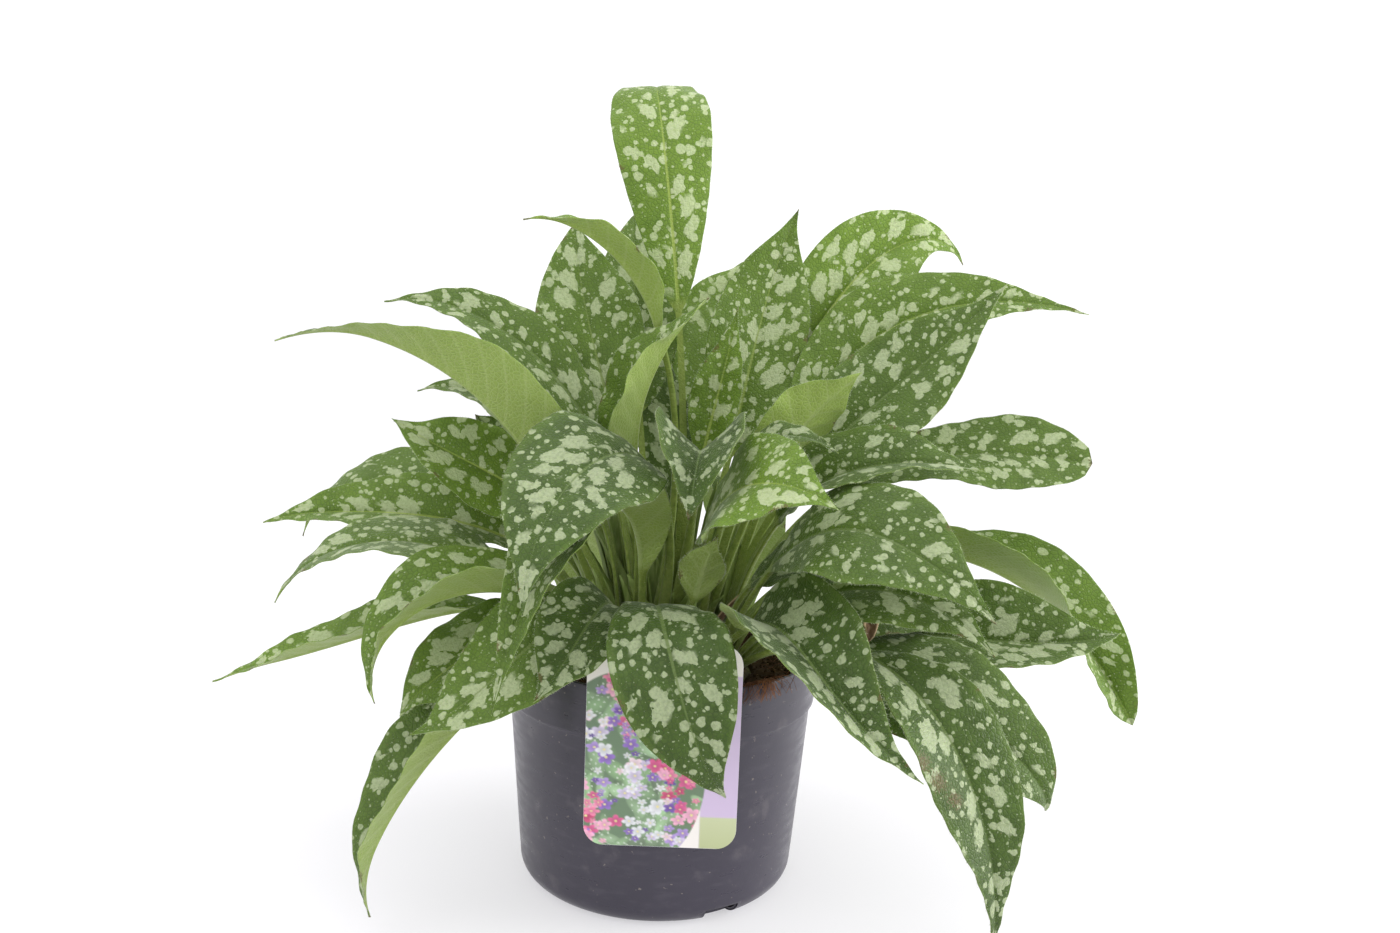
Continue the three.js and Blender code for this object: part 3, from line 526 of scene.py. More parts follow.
def leaf_hairs(sheet, outward, thick, facts, rng):
    """Points and faces of hairs: a fringe on both margins, and short ones on both faces and the stalk."""
    n, m = sheet.shape[:2]
    side, along = facts["side"], facts["along"]
    blade = np.flatnonzero(facts["spread"][:, 0] > 0.1)
    roots, leans, sizes = [], [], []
    for column, sign in ((0, -1.0), (m - 1, 1.0)):
        place = rng.uniform(blade[0], blade[-1] - 1.001, MARGIN_HAIRS)
        i = place.astype(int)
        edge = blend(sheet[i, column], sheet[i + 1, column], (place - i)[:, None])
        roots.append(edge - outward[i, column] * 0.5 * thick[i, column])
        leans.append(sign * side[i] + 0.5 * along[i] + rng.normal(0, 0.25, edge.shape))
        sizes.append(rng.uniform(0.6, 1.3, MARGIN_HAIRS))
    for face, count in FACE_HAIRS:
        i = rng.integers(0, n - 1, count)
        j = rng.integers(1, m - 1, count)
        f = rng.uniform(0, 1, (count, 1))
        g = rng.uniform(0, 1, (count, 1))
        near = blend(sheet[i, j], sheet[i + 1, j], f)
        skin = blend(near, blend(sheet[i, j - 1], sheet[i + 1, j - 1], f), g)
        if face < 0:
            skin = skin - outward[i, j] * thick[i, j]
        roots.append(skin)
        leans.append(face * outward[i, j] + 0.9 * along[i] + rng.normal(0, 0.3, skin.shape))
        sizes.append(rng.uniform(0.4, 0.9, count))
    return spikes(np.concatenate(roots), np.concatenate(leans), np.concatenate(sizes), rng)


def worn_places(row, rng):
    """Browned places of a leaf: share along it, side as -1 to 1, and radius in millimetres."""
    places = [(rng.uniform(0.55, 1.0), rng.choice([-1.0, 1.0]), rng.uniform(1.5, 3.5)) for _ in range(2)]
    if rng.uniform() < 0.5:
        places.append((1.0, 0.0, rng.uniform(2.0, 5.0)))
    if row["name"] == SCARRED_LEAF:
        places += SCARS
    return places


def build_leaf(row, order, materials):
    """One leaf: a thin closed shell with its hairs, its place on the leaf kept for the spots and veins."""
    rng = np.random.default_rng(100 + order)
    t = np.concatenate([
        np.linspace(0, row["stalk"], STALK_STATIONS, endpoint=False),
        np.linspace(row["stalk"], 1, BLADE_STATIONS),
    ])
    v = np.concatenate([[-1, -0.975, -0.035, 0, 0.035, 0.975, 1], np.linspace(-0.93, 0.93, BLADE_COLUMNS)])
    v.sort()
    sheet, outward, thick, facts = leaf_sheet(row, order, t, v)
    skin, quads = shell(sheet, sheet - outward * thick)
    hair_points, hair_faces = leaf_hairs(sheet, outward, thick, facts, rng)
    looks = np.repeat([0, 1], [len(quads), len(hair_faces)])
    points = np.concatenate([skin, hair_points])
    mesh = mesh_from(row["name"] + "_leaf", points, quads, hair_faces + len(skin), looks)

    length, lateral = facts["length"], facts["lateral"]
    set_uv(mesh, length / 100 + 2.7 * order, lateral / 100 + 1.9 * order)
    set_values(mesh, "place", (facts["spread"], v, 0.0), (facts["spread"], v, 1.0))
    mark = (t[:, None], row["tone"], lateral)
    set_values(mesh, "mark", mark, mark)
    worn = 0.0
    for at, side, radius in worn_places(row, rng):
        gap = np.hypot(length - at * length[-1], lateral - side * facts["half"])
        worn = np.maximum(worn, 1 - gap / radius)
    set_values(mesh, "worn", (worn, worn, worn), (worn, worn, worn))
    add_piece(mesh, materials, "young_leaf" if row["name"] in YOUNG_LEAVES else "leaf", row["name"])


def build_dry_leaf(material):
    """The dead leaf: the leaf's own formula with creases pressed into it."""
    t = np.linspace(0, 1, 60)
    v = np.linspace(-1, 1, 17)
    sheet, outward, thick, facts = leaf_sheet(DRY_LEAF, len(LEAVES), t, v)
    length = facts["length"]
    crease = 0.9 * np.sin(0.9 * length + 3 * v) * np.sin(0.37 * length + 5 * v**2)
    sheet = sheet + outward * (crease * facts["spread"])[..., None]
    mesh = mesh_from("dead_leaf", *shell(sheet, sheet - outward * (0.3 + 0.25 * thick)))
    set_uv(mesh, length / 100, facts["lateral"] / 100)
    place = (np.ones((len(t), 1)), v, 0.0)
    set_values(mesh, "place", place, place)
    add_piece(mesh, [material], "dry_leaf", "dry_leaf")


# Materials


class Recipe:
    """A material's nodes, with short calls to add them. A colour may be given as 8-bit red, green, blue."""

    def __init__(self, name, roughness, specular):
        self.material = bpy.data.materials.new(name)
        self.material.use_nodes = True
        self.nodes = self.material.node_tree.nodes
        self.links = self.material.node_tree.links
        self.shader = self.nodes["Principled BSDF"]
        self.shader.inputs["Roughness"].default_value = roughness
        self.shader.inputs["Specular IOR Level"].default_value = specular

    def put(self, value, socket):
        """Links a socket, or sets a plain number or colour."""
        if isinstance(value, bpy.types.NodeSocket):
            self.links.new(value, socket)
        else:
            socket.default_value = value

    def add(self, kind, inputs=(), **settings):
        """The outputs of a new node. inputs gives values or links by the socket's name or number."""
        node = self.nodes.new(kind)
        for key, value in settings.items():
            setattr(node, key, value)
        for key, value in dict(inputs).items():
            self.put(value, node.inputs[key])
        return node.outputs

    def sum(self, operation, a, b=0.0, *c):
        return self.add("ShaderNodeMath", enumerate((a, b, *c)), operation=operation)[0]

    def times(self, a, b):
        return self.sum("MULTIPLY", a, b)

    def vector(self, operation, a, b):
        second = "Scale" if operation == "SCALE" else 1
        return self.add("ShaderNodeVectorMath", {0: a, second: b}, operation=operation)[0]

    def noise(self, place, scale, detail=2.0, output="Fac"):
        return self.add("ShaderNodeTexNoise", {"Vector": place, "Scale": scale, "Detail": detail})[output]

    def cells(self, place, scale, randomness=1.0, feature="F1"):
        """A scatter of points, with the Distance to the nearest, its Position and its random Color.

        With the feature DISTANCE_TO_EDGE the Distance is to the border between two points' cells.
        """
        inputs = {"Vector": place, "Scale": scale, "Randomness": randomness}
        return self.add("ShaderNodeTexVoronoi", inputs, feature=feature, voronoi_dimensions="2D")

    def spots(self, place, scale, randomness, channel, size, edge, band=1.0):
        """1 in round spots at scattered points, with a soft edge.

        A spot's radius is size[0] times its point's luck, plus size[1], times band, in shares of a cell.
        """
        point = self.cells(place, scale, randomness)
        luck = self.split(point["Color"])[channel]
        radius = self.times(self.sum("MULTIPLY_ADD", luck, *size), band)
        return self.ramp(self.sum("SUBTRACT", radius, point["Distance"]), *edge)

    def split(self, value):
        return self.add("ShaderNodeSeparateXYZ", {0: value})

    def join(self, x, y, z=0.0):
        return self.add("ShaderNodeCombineXYZ", enumerate((x, y, z)))[0]

    def mix(self, share, first, second):
        first, second = [shade(*c) if isinstance(c, tuple) else c for c in (first, second)]
        return self.add("ShaderNodeMix", {"Factor": share, 6: first, 7: second}, data_type="RGBA")[2]

    def ramp(self, value, low, high, start=0.0, end=1.0):
        """start up to low, end from high, and a smooth step between."""
        inputs = enumerate((value, low, high, start, end))
        return self.add("ShaderNodeMapRange", inputs, interpolation_type="SMOOTHSTEP")[0]

    def uv(self):
        return self.add("ShaderNodeUVMap", uv_map="sheet")[0]

    def values(self, name, output="Vector"):
        return self.add("ShaderNodeAttribute", attribute_name=name)[output]

    def places(self):
        return self.add("ShaderNodeTexCoord")["Object"]

    def bump(self, height, strength, distance):
        inputs = {"Strength": strength, "Distance": distance, "Height": height}
        self.put(self.add("ShaderNodeBump", inputs)[0], self.shader.inputs["Normal"])

    def colour(self, value):
        self.put(value, self.shader.inputs["Base Color"])
        return self.material


def leaf_material():
    """Dark green with pale blotches beside the midrib and dots all over, and a plain light underside.

    The sheet's own length and width carry the pattern. Blotches are the insides of scattered cells with
    random radii, largest halfway out. They are taken near the centres of a finer scatter, so that each is
    made of small patches and has a lobed edge. Spots, dots and specks are three finer scatters.
    """
    r = Recipe("lungwort_leaf", 0.46, 0.27)
    sheet = r.uv()
    spread, across, under = r.split(r.values("place"))
    along, tone, lateral = r.split(r.values("mark"))
    reach = r.sum("ABSOLUTE", across)
    distance = r.sum("ABSOLUTE", lateral)
    x, y, _ = r.split(sheet)

    ragged = r.noise(sheet, 34.0, 4.0, "Color")
    ragged = r.vector("SCALE", r.vector("SUBTRACT", ragged, (0.5, 0.5, 0.5)), 0.045)
    broken = r.vector("ADD", r.join(r.sum("SUBTRACT", x, r.times(distance, 0.006)), y), ragged)
    step = r.vector("SUBTRACT", r.cells(broken, 40.0)["Position"], broken)
    patch = r.vector("ADD", broken, r.vector("SCALE", step, 0.7))
    band = r.times(r.ramp(reach, 0.02, 0.2, 0.6, 1.0), r.ramp(reach, 0.5, 0.95, 1.0, 0.2))
    blotch = r.spots(patch, 8.0, 0.8, 0, (0.4, 0.09), (-0.035, 0.05), band)
    dot_place = r.vector("ADD", sheet, r.vector("SCALE", ragged, 0.5))
    spot = r.spots(dot_place, 12.0, 0.95, 2, (0.5, -0.2), (-0.02, 0.04))
    dot = r.spots(dot_place, 20.0, 0.95, 1, (0.34, -0.03), (-0.03, 0.06))
    speck = r.times(r.spots(dot_place, 46.0, 1.0, 0, (0.42, -0.22), (-0.03, 0.08)), 0.7)
    pale = r.sum("MAXIMUM", r.sum("MAXIMUM", blotch, spot), r.sum("MAXIMUM", dot, speck))
    pale = r.times(pale, r.ramp(spread, 0.15, 0.6))
    pale = r.times(pale, r.ramp(r.noise(sheet, 60.0, 3.0), 0.3, 0.6, 0.72, 1.0))

    cloud = r.noise(sheet, 9.0, 3.0)
    fine = r.noise(sheet, 90.0, 2.0)
    mottle = r.noise(sheet, 34.0, 4.0)
    net = r.cells(sheet, 52.0, feature="DISTANCE_TO_EDGE")["Distance"]
    # dark to light green by the leaf's tone: partly the leaf's own paler green, partly painted light and
    # shade on lit and shaded leaves
    dark = r.mix(cloud, (42, 60, 14), (70, 96, 28))
    light = r.mix(cloud, (90, 120, 32), (122, 152, 50))
    green = r.mix(tone, dark, light)
    green = r.mix(r.ramp(mottle, 0.45, 0.75, 0.0, 0.25), green, (92, 112, 56))
    green = r.mix(r.ramp(net, 0.0, 0.16, 0.3, 0.0), green, (34, 50, 20))
    green = r.mix(r.times(r.ramp(reach, 0.8, 1.0), 0.25), green, (108, 132, 56))
    # the pale blotches follow the tone as well: partly painted light, brighter on lit leaves and duller on
    # shaded ones
    sage = r.mix(tone, (156, 166, 132), (186, 198, 150))
    sage = r.mix(r.times(fine, 0.45), sage, (122, 140, 94))
    top = r.mix(pale, green, sage)
    rib = r.ramp(r.sum("SUBTRACT", r.ramp(along, 0.3, 1.0, 1.15, 0.3), distance), 0.0, 0.45)
    rib_colour = r.mix(r.ramp(tone, 0.3, 0.7), (96, 116, 60), (150, 168, 80))
    top = r.mix(r.times(rib, r.ramp(along, 0.55, 1.0, 0.8, 0.35)), top, rib_colour)

    vein_phase = r.sum("MULTIPLY_ADD", distance, -VEIN_SLANT / 100, x)
    vein = r.ramp(r.sum("SINE", r.times(vein_phase, 2 * math.pi * 100 / VEIN_SPACING)), 0.8, 1.0)
    below = r.mix(cloud, (117, 138, 60), (139, 160, 80))
    # the underside lightens with the tone: partly the leaf's own paler green, partly painted light
    below = r.mix(r.times(tone, 0.6), below, (146, 172, 70))
    below = r.mix(r.times(mottle, 0.4), below, (152, 167, 104))
    below = r.mix(r.ramp(net, 0.0, 0.16, 0.32, 0.0), below, (168, 184, 122))
    below = r.mix(r.times(vein, 0.3), below, (164, 178, 116))
    below = r.mix(r.times(rib, 0.6), below, (160, 176, 112))
    eaten = r.sum("MULTIPLY_ADD", r.noise(sheet, 110.0, 4.0), 2.4, -1.45)
    worn = r.ramp(r.sum("ADD", r.split(r.values("worn"))[0], eaten), 0.0, 0.5, 0.0, 0.8)
    blade = r.mix(worn, r.mix(under, top, below), r.mix(fine, (58, 46, 26), (112, 98, 54)))
    stalk = r.mix(r.noise(sheet, 30.0, 2.0), (98, 120, 44), (140, 156, 76))
    stalk = r.mix(r.ramp(along, 0.02, 0.22, 0.6, 0.0), stalk, (62, 66, 30))

    relief = r.sum("MULTIPLY_ADD", pale, 0.4, r.noise(sheet, 160.0, 2.0))
    r.bump(r.sum("ADD", relief, r.ramp(net, 0.0, 0.25)), 0.4, 0.0004)
    r.shader.inputs["Sheen Weight"].default_value = 0.15
    r.shader.inputs["Sheen Roughness"].default_value = 0.4
    r.shader.inputs["Subsurface Weight"].default_value = 0.2
    r.shader.inputs["Subsurface Scale"].default_value = 0.001
    r.shader.inputs["Subsurface Radius"].default_value = (0.7, 1.0, 0.3)
    return r.colour(r.mix(r.ramp(spread, 0.0, 0.3), stalk, blade))


def pot_material():
    """Dark grey plastic with a touch of purple: satin, faintly mottled, rubbed round it, and dusty."""
    r = Recipe("nursery_pot_plastic", 0.42, 0.5)
    place = r.places()
    x, y, z = r.split(place)
    azimuth = r.sum("ARCTAN2", y, x)
    rubbed = r.noise(r.join(r.times(azimuth, 0.1), r.times(z, 5.0), r.times(azimuth, 0.03)), 55.0, 5.0)
    plastic = r.mix(r.noise(place, 22.0, 4.0), (46, 43, 55), (60, 56, 69))
    plastic = r.mix(r.ramp(rubbed, 0.5, 0.8, 0.0, 0.16), plastic, (104, 99, 108))
    dust = r.ramp(r.noise(place, 75.0, 5.0), 0.56, 0.76, 0.0, 0.3)
    plastic = r.mix(dust, plastic, (112, 106, 110))
    grit = r.ramp(r.noise(place, 420.0, 2.0), 0.7, 0.76, 0.0, 0.5)
    plastic = r.mix(grit, plastic, (150, 140, 132))
    r.put(r.ramp(rubbed, 0.3, 0.75, 0.27, 0.42), r.shader.inputs["Roughness"])
    r.bump(r.noise(place, 900.0, 3.0), 0.15, 0.0002)
    return r.colour(plastic)


def clouded_material(name, roughness, specular, clouds, colours, marks=None, relief=None):
    """Two colours in clouds, with marks of a third on them and a relief.

    clouds and marks hold a noise's scale and detail, and the edges of a ramp of it. relief holds a
    noise's scale and detail, and its strength and depth.
    """
    r = Recipe(name, roughness, specular)
    place = r.places()

    def cover(scale, detail, *edges):
        noise = r.noise(place, scale, detail)
        return r.ramp(noise, *edges) if edges else noise

    colour = r.mix(cover(*clouds), *colours[:2])
    if marks:
        colour = r.mix(cover(*marks), colour, colours[2])
    if relief:
        r.bump(cover(*relief[:2]), *relief[2:])
    return r.colour(colour)


def sheath_material():
    """Green sheaths, brownish at the foot and paler upwards, with fine lengthwise veins."""
    r = Recipe("green_sheath", 0.55, 0.4)
    place = r.places()
    x, y, z = r.split(place)
    veins = r.noise(r.join(x, y, r.times(z, 0.06)), 900.0, 2.0)
    tissue = r.mix(r.noise(place, 90.0, 2.0), (96, 118, 48), (136, 156, 82))
    tissue = r.mix(r.ramp(veins, 0.45, 0.7, 0.0, 0.4), tissue, (156, 170, 110))
    tissue = r.mix(r.ramp(z, 0.104, 0.125, 0.75, 0.0), tissue, (66, 56, 32))
    r.bump(veins, 0.3, 0.0004)
    return r.colour(tissue)


def dry_material():
    """Dead leaf: brown clouds with a papery pale margin."""
    r = Recipe("dead_leaf", 0.9, 0.2)
    sheet = r.uv()
    reach = r.sum("ABSOLUTE", r.split(r.values("place"))[1])
    brown = r.mix(r.noise(sheet, 24.0, 4.0), (58, 45, 34), (112, 88, 64))
    papery = r.mix(r.noise(sheet, 60.0, 2.0), (150, 124, 96), (190, 172, 140))
    r.bump(r.noise(sheet, 60.0, 4.0), 0.9, 0.001)
    return r.colour(r.mix(r.ramp(reach, 0.7, 0.95), brown, papery))


def print_material():
    """The label's print, from the colours stored in its mesh, under a glossy film."""
    r = Recipe("label_print", 0.3, 0.5)
    return r.colour(r.values("print", "Color"))


# Pot


def base_corner(inset, angles):
    """The round from the standing face to the wall, as radius and height at the given angles."""
    a = np.radians(angles)
    radius = BASE_CORNER - inset
    return columns(BASE_RADIUS - BASE_CORNER + radius * np.cos(a), BASE_CORNER + radius * np.sin(a))


def build_pot(material):
    """The pot: a closed profile turned in 192 steps, with four openings in the base corner.

    Outside and inside follow the same rounds of the corner, so an opening leaves out the same cells on
    both and is walled with quads between the two.
    """
    band = POT_HEIGHT - RIM_BAND
    ring = BASE_RADIUS - BASE_CORNER - FOOT_RING_WIDTH
    disc = CENTRE_DISC_RADIUS
    wall_top = RIM_RADIUS - BAND_STEP
    corner = np.linspace(-90, -17.5, 9)
    last = np.array([-12.0, -5.0])
    lip_radius = WALL / 2
    lip = POT_HEIGHT - lip_radius
    outside = np.concatenate([
        [[HUB_RADIUS, 0], [disc - 0.5, 0], [disc, 0.2], [disc + CHANNEL_SLOPE - 0.2, CHANNEL_HEIGHT - 0.4]],
        [[disc + CHANNEL_SLOPE + 0.5, CHANNEL_HEIGHT], [ring - CHANNEL_SLOPE - 0.5, CHANNEL_HEIGHT]],
        [[ring - CHANNEL_SLOPE + 0.2, CHANNEL_HEIGHT - 0.4], [ring, 0.2], [ring + 0.6, 0]],
        base_corner(0, corner),
        base_corner(0, last),
        [[BASE_RADIUS + 0.15, BASE_CORNER + 2]],
        columns(np.linspace(BASE_RADIUS + 1, wall_top - 0.05, 8), np.linspace(22, band - 1.2, 8)),
        [[wall_top + 0.25, band - 0.35], [RIM_RADIUS - 0.6, band + 0.35], [RIM_RADIUS - 0.12, band + 0.8]],
        [[RIM_RADIUS, band + 1.6], [RIM_RADIUS, POT_HEIGHT - 3], [RIM_RADIUS, lip]],
    ])
    over = np.radians(np.linspace(0, 180, 9))[1:-1]
    over = columns(RIM_RADIUS - lip_radius + lip_radius * np.cos(over), lip + lip_radius * np.sin(over))
    inside = np.concatenate([
        [[RIM_RADIUS - WALL, lip], [RIM_RADIUS - WALL, band + 1.8]],
        [[wall_top - WALL, band + 0.2], [wall_top - WALL - 0.2, band - 3]],
        base_corner(WALL, last[::-1]),
        base_corner(WALL, corner[::-1]),
        [[ring + WALL, WALL], [ring - CHANNEL_SLOPE + WALL, CHANNEL_HEIGHT + WALL]],
        [[disc + CHANNEL_SLOPE - WALL, CHANNEL_HEIGHT + WALL], [disc - WALL, WALL], [HUB_RADIUS, WALL]],
    ])
    points, place, beside, cells = turned(np.concatenate([outside, over, inside]), POT_STEPS)

    low_out = 9
    high_out = low_out + len(corner) - 1
    high_in = len(outside) + len(over) + 4 + len(last)
    low_in = high_in + len(corner) - 1
    rows = np.arange(low_out, high_out)
    rows_in = low_in - (rows - low_out)
    kept = np.ones(cells.shape[:2], dtype=bool)
    walls = []
    for azimuth in DRAIN_AZIMUTHS:
        middle = round(azimuth / 360 * POT_STEPS)
        across = np.arange(middle - DRAIN_HALF_STEPS, middle + DRAIN_HALF_STEPS) % POT_STEPS
        kept[low_out:high_out, across] = False
        kept[high_in:low_in, across] = False
        for edge, order in ((across[0], -1), ((across[-1] + 1) % POT_STEPS, 1)):
            side = place[:, edge]
            walls.append(columns(side[rows], side[rows_in], side[rows_in - 1], side[rows + 1])[:, ::order])
        for out, within, order in ((low_out, low_in, 1), (high_out, high_in, -1)):
            corners = place[out, across], beside[out, across], beside[within, across], place[within, across]
            walls.append(columns(*corners)[:, ::order])
    quads = np.concatenate([cells[kept]] + walls)
    mesh = turned_mesh("nursery_pot", points, place, beside, quads, (0, WALL))
    add_piece(mesh, [material], "pot_plastic", "pot")


# Soil and crown


def ground(x, y):
    """Height of the soil: a few crossed waves of 3 to 33 mm."""
    lumps = 0.9 * np.sin(0.23 * x + 1.3) * np.cos(0.19 * y) + 0.6 * np.sin(0.41 * y + 0.33 * x)
    lumps = lumps + 0.35 * np.sin(0.9 * x - 0.6 * y) + 0.3 * np.sin(1.1 * y + 0.8 * x + 2.0)
    lumps = lumps + 0.22 * np.sin(2.1 * x + 0.7 * y) * np.sin(1.9 * y - 0.5 * x)
    return SOIL_TOP - 0.4 + 0.85 * lumps


def build_soil(material):
    """The soil: a closed turned body inside the pot, lumpy on top, with a recess for the crown."""
    band = POT_HEIGHT - RIM_BAND
    clear = WALL + CLEARANCE
    bed = CHANNEL_HEIGHT + clear
    recess = CROWN_RADIUS + 0.6
    rim = RIM_RADIUS - clear - 0.15
    profile = np.concatenate([
        [[HUB_RADIUS, bed], [BASE_RADIUS - BASE_CORNER + 3, bed]],
        [[BASE_RADIUS - clear - 1, BASE_CORNER + 3], [RIM_RADIUS - BAND_STEP - clear - 0.3, band + 1]],
        [[rim, band + 2 * WALL], [rim, SOIL_TOP - 1.5]],
        columns(np.linspace(rim - 0.8, recess, 24), SOIL_TOP),
        [[recess, CROWN_BASE], [HUB_RADIUS, CROWN_BASE]],
    ])
    points, place, beside, quads = turned(profile, SOIL_STEPS)
    top = profile[:, 1] == SOIL_TOP
    points[top, :, 2] = ground(points[top, :, 0], points[top, :, 1])
    mesh = turned_mesh("potting_soil", points, place, beside, quads.reshape(-1, 4), (bed, CROWN_BASE))
    add_piece(mesh, [material], "soil", "soil")


def soil_places(rng, inner, outer, count):
    """Random places in a ring round the axis, as x and y columns."""
    radius = np.sqrt(rng.uniform(inner**2, outer**2, (count, 1)))
    azimuth = rng.uniform(0, 2 * np.pi, (count, 1))
    return radius * np.cos(azimuth), radius * np.sin(azimuth)


def build_crumbs(material):
    """Crumbs on the soil: eight-cornered lumps of 0.3 to 3.5 mm, each with its own stretch and turn."""
    rng = np.random.default_rng(11)
    x, y = soil_places(rng, CROWN_RADIUS + 1.5, RIM_RADIUS - 3.2, CRUMBS)
    size = rng.uniform(0.3, 1.2, (CRUMBS, 1)) * rng.uniform(0.5, 1.0, (CRUMBS, 1))
    z = ground(x, y) + 0.35 * size
    corners = np.array([[0, 0, 1], [1, 0, 0.2], [0, 1, 0.1], [-1, 0, 0.15], [0, -1, 0.2],
                        [0.6, 0.6, -0.7], [-0.7, 0.5, -0.6], [0, -0.6, -0.8]])
    faces = np.array([[0, 1, 2], [0, 2, 3], [0, 3, 4], [0, 4, 1], [1, 5, 2], [2, 5, 6], [2, 6, 3],
                      [3, 6, 7], [3, 7, 4], [4, 7, 1], [1, 7, 5], [5, 7, 6]])
    bent = corners * rng.uniform(0.7, 1.25, (CRUMBS, 8, 1)) * rng.uniform(0.6, 1.3, (CRUMBS, 1, 3))
    turn = rng.uniform(0, 2 * np.pi, (CRUMBS, 1))
    east, north, up = np.moveaxis(bent, -1, 0)
    around = east * np.cos(turn) - north * np.sin(turn), east * np.sin(turn) + north * np.cos(turn)
    points = columns(x + size * around[0], y + size * around[1], z + size * up)
    triangles = (8 * np.arange(CRUMBS)[:, None, None] + faces).reshape(-1, 3)
    mesh = mesh_from("soil_crumbs", points.reshape(-1, 3), (), triangles, smooth=False)
    add_piece(mesh, [material], "soil")


def over_rim(share, stops, radii, heights):
    """Radius and height along a strand that climbs from the soil over the rim, at shares of its length."""
    return np.interp(share, stops, radii), np.interp(share, stops, heights)


def build_fibres(material):
    """Coir fibres wandering on the soil, a tuft of them over the rim, and root hairs hanging on the left.

    On the soil a fibre runs along its heading, bent aside and lifted by the square of the place along it,
    and stays inside the pot. The others follow radii and heights at stops along them, from the soil over
    the rim and down outside the pot.
    """
    rng = np.random.default_rng(23)
    s = np.linspace(-1, 1, STRAND_STEPS)
    x, y = soil_places(rng, CROWN_RADIUS + 3, RIM_RADIUS - 6, FIBRES)
    heading = rng.uniform(0, 2 * np.pi, (FIBRES, 1))
    along = rng.uniform(3, 9, (FIBRES, 1)) * s
    aside = rng.uniform(-2.5, 2.5, (FIBRES, 1)) * s**2
    x = x + along * np.cos(heading) - aside * np.sin(heading)
    y = y + along * np.sin(heading) + aside * np.cos(heading)
    reach = np.hypot(x, y)
    limit = np.clip(reach, CROWN_RADIUS + 2, RIM_RADIUS - 3) / reach
    x, y = x * limit, y * limit
    lift = 0.7 + rng.uniform(0, 1.5, (FIBRES, 1)) * (1 - s**2)
    flat = columns(x, y, ground(x, y) + lift)

    q = np.linspace(0, 1, STRAND_STEPS)
    azimuth = np.radians(rng.normal(-52, 5, (RIM_FIBRES, 1)))
    drop = rng.uniform(0.6, 1, (RIM_FIBRES, 1))
    bend = rng.normal(0, 0.09, (RIM_FIBRES, 1)) * q**2 + 0.02 * np.sin(9 * q + azimuth * 40)
    radius, height = over_rim(q, [0, 0.45, 0.6, 0.75, 1], [66, 72.6, 75.2, 76.4, 77.2],
                              [SOIL_TOP - 1, 116, 116.6, 114, 107])
    height = POT_HEIGHT + (height - POT_HEIGHT) * np.where(q > 0.7, drop, 1)
    tuft = polar(radius + rng.uniform(-1, 1.2, (RIM_FIBRES, 1)) * q, azimuth + bend, height)

    azimuth = np.radians(rng.uniform(192, 212, (ROOT_HAIRS, 1)))
    azimuth = azimuth + 0.03 * np.sin(7 * q + rng.uniform(0, 6, (ROOT_HAIRS, 1)))
    radius, height = over_rim(q, [0, 0.3, 0.4, 0.5, 1], [67, 72.6, 75.2, 76.6, 78.5],
                              [SOIL_TOP - 1, 115.8, 116.4, 113, 84])
    radius = radius + rng.uniform(0, 2, (ROOT_HAIRS, 1)) * q**2
    hanging = polar(radius, azimuth, height + rng.uniform(0, 14, (ROOT_HAIRS, 1)) * q**4)
    widths = [rng.uniform(0.18, 0.42, FIBRES), rng.uniform(0.18, 0.4, RIM_FIBRES), np.full(ROOT_HAIRS, 0.14)]
    tubes = strands(np.concatenate([flat, tuft, hanging]), np.concatenate(widths))
    add_piece(mesh_from("coir_fibres", *tubes), [material], "soil")


def build_bases(scale_look, sheath_look):
    """Bud scales on the crown, and taller green sheaths among the stalks.

    Each is a pointed tongue 0.5 mm thin, half as wide as its widest place times (1 - t^2)^0.7 at a share t
    of its height, bowed across by the square of the place, and leaning out by t^2. The second half of the
    sheaths is tallest, and stands behind as an even screen.
    """
    rng = np.random.default_rng(31)
    count = BUD_SCALES + SHEATHS
    first_far = BUD_SCALES + SHEATHS // 2
    share = np.concatenate([rng.uniform(0.01, 0.85, BUD_SCALES), rng.uniform(0.01, 0.6, SHEATHS)])
    radius = CROWN_RADIUS * np.sqrt(share)
    azimuth = rng.uniform(0, 2 * np.pi, count)
    even = np.linspace(-0.97, 0.97, count - first_far)
    azimuth[first_far:] = np.arccos(even + rng.uniform(-0.02, 0.02, len(even)))
    rise = CROWN_TOP - 1.2 - 0.6 * CROWN_RISE * share
    points, quads, looks = [], [], []
    t = np.linspace(0, 1, 11)[:, None]
    v = np.linspace(-1, 1, 5)
    for i in range(count):
        tall = i >= BUD_SCALES
        height = rng.uniform(*((50, 92) if i >= first_far else (22, 48) if tall else (6, 15)))
        half = rng.uniform(*((2.6, 5.0) if tall else (1.3, 2.6))) * (1 - t**2) ** 0.7 + 0.15
        lean = rng.uniform(0.1, 0.4 if tall else 0.8)
        out = polar(1.0, azimuth[i], 0.0)
        side = np.array([-out[1], out[0], 0.0])
        bow = (1.4 if tall else 0.8) * half * v**2
        outwards = (radius[i] + lean * height * t**2 - bow)[..., None] * out
        face = outwards + (half * v)[..., None] * side + columns(0.0, 0.0, rise[i] + height * t)
        corners, cells = shell(face - out * 0.5, face)
        quads.append(cells[:, ::-1] + len(corners) * i)
        looks.append(np.full(len(cells), int(tall)))
        points.append(corners)
    mesh = mesh_from("bud_scales", np.concatenate(points), np.concatenate(quads), (), np.concatenate(looks))
    add_piece(mesh, [scale_look, sheath_look], "crown")


# Label


def card_half_width(z):
    """Half the card's width at a height over its lower edge, with its corners rounded."""
    near = np.minimum(np.minimum(z, LABEL_HEIGHT - z), LABEL_CORNER)
    inset = LABEL_CORNER - np.sqrt(np.clip(LABEL_CORNER**2 - (LABEL_CORNER - near) ** 2, 0, None))
    return LABEL_WIDTH / 2 - inset


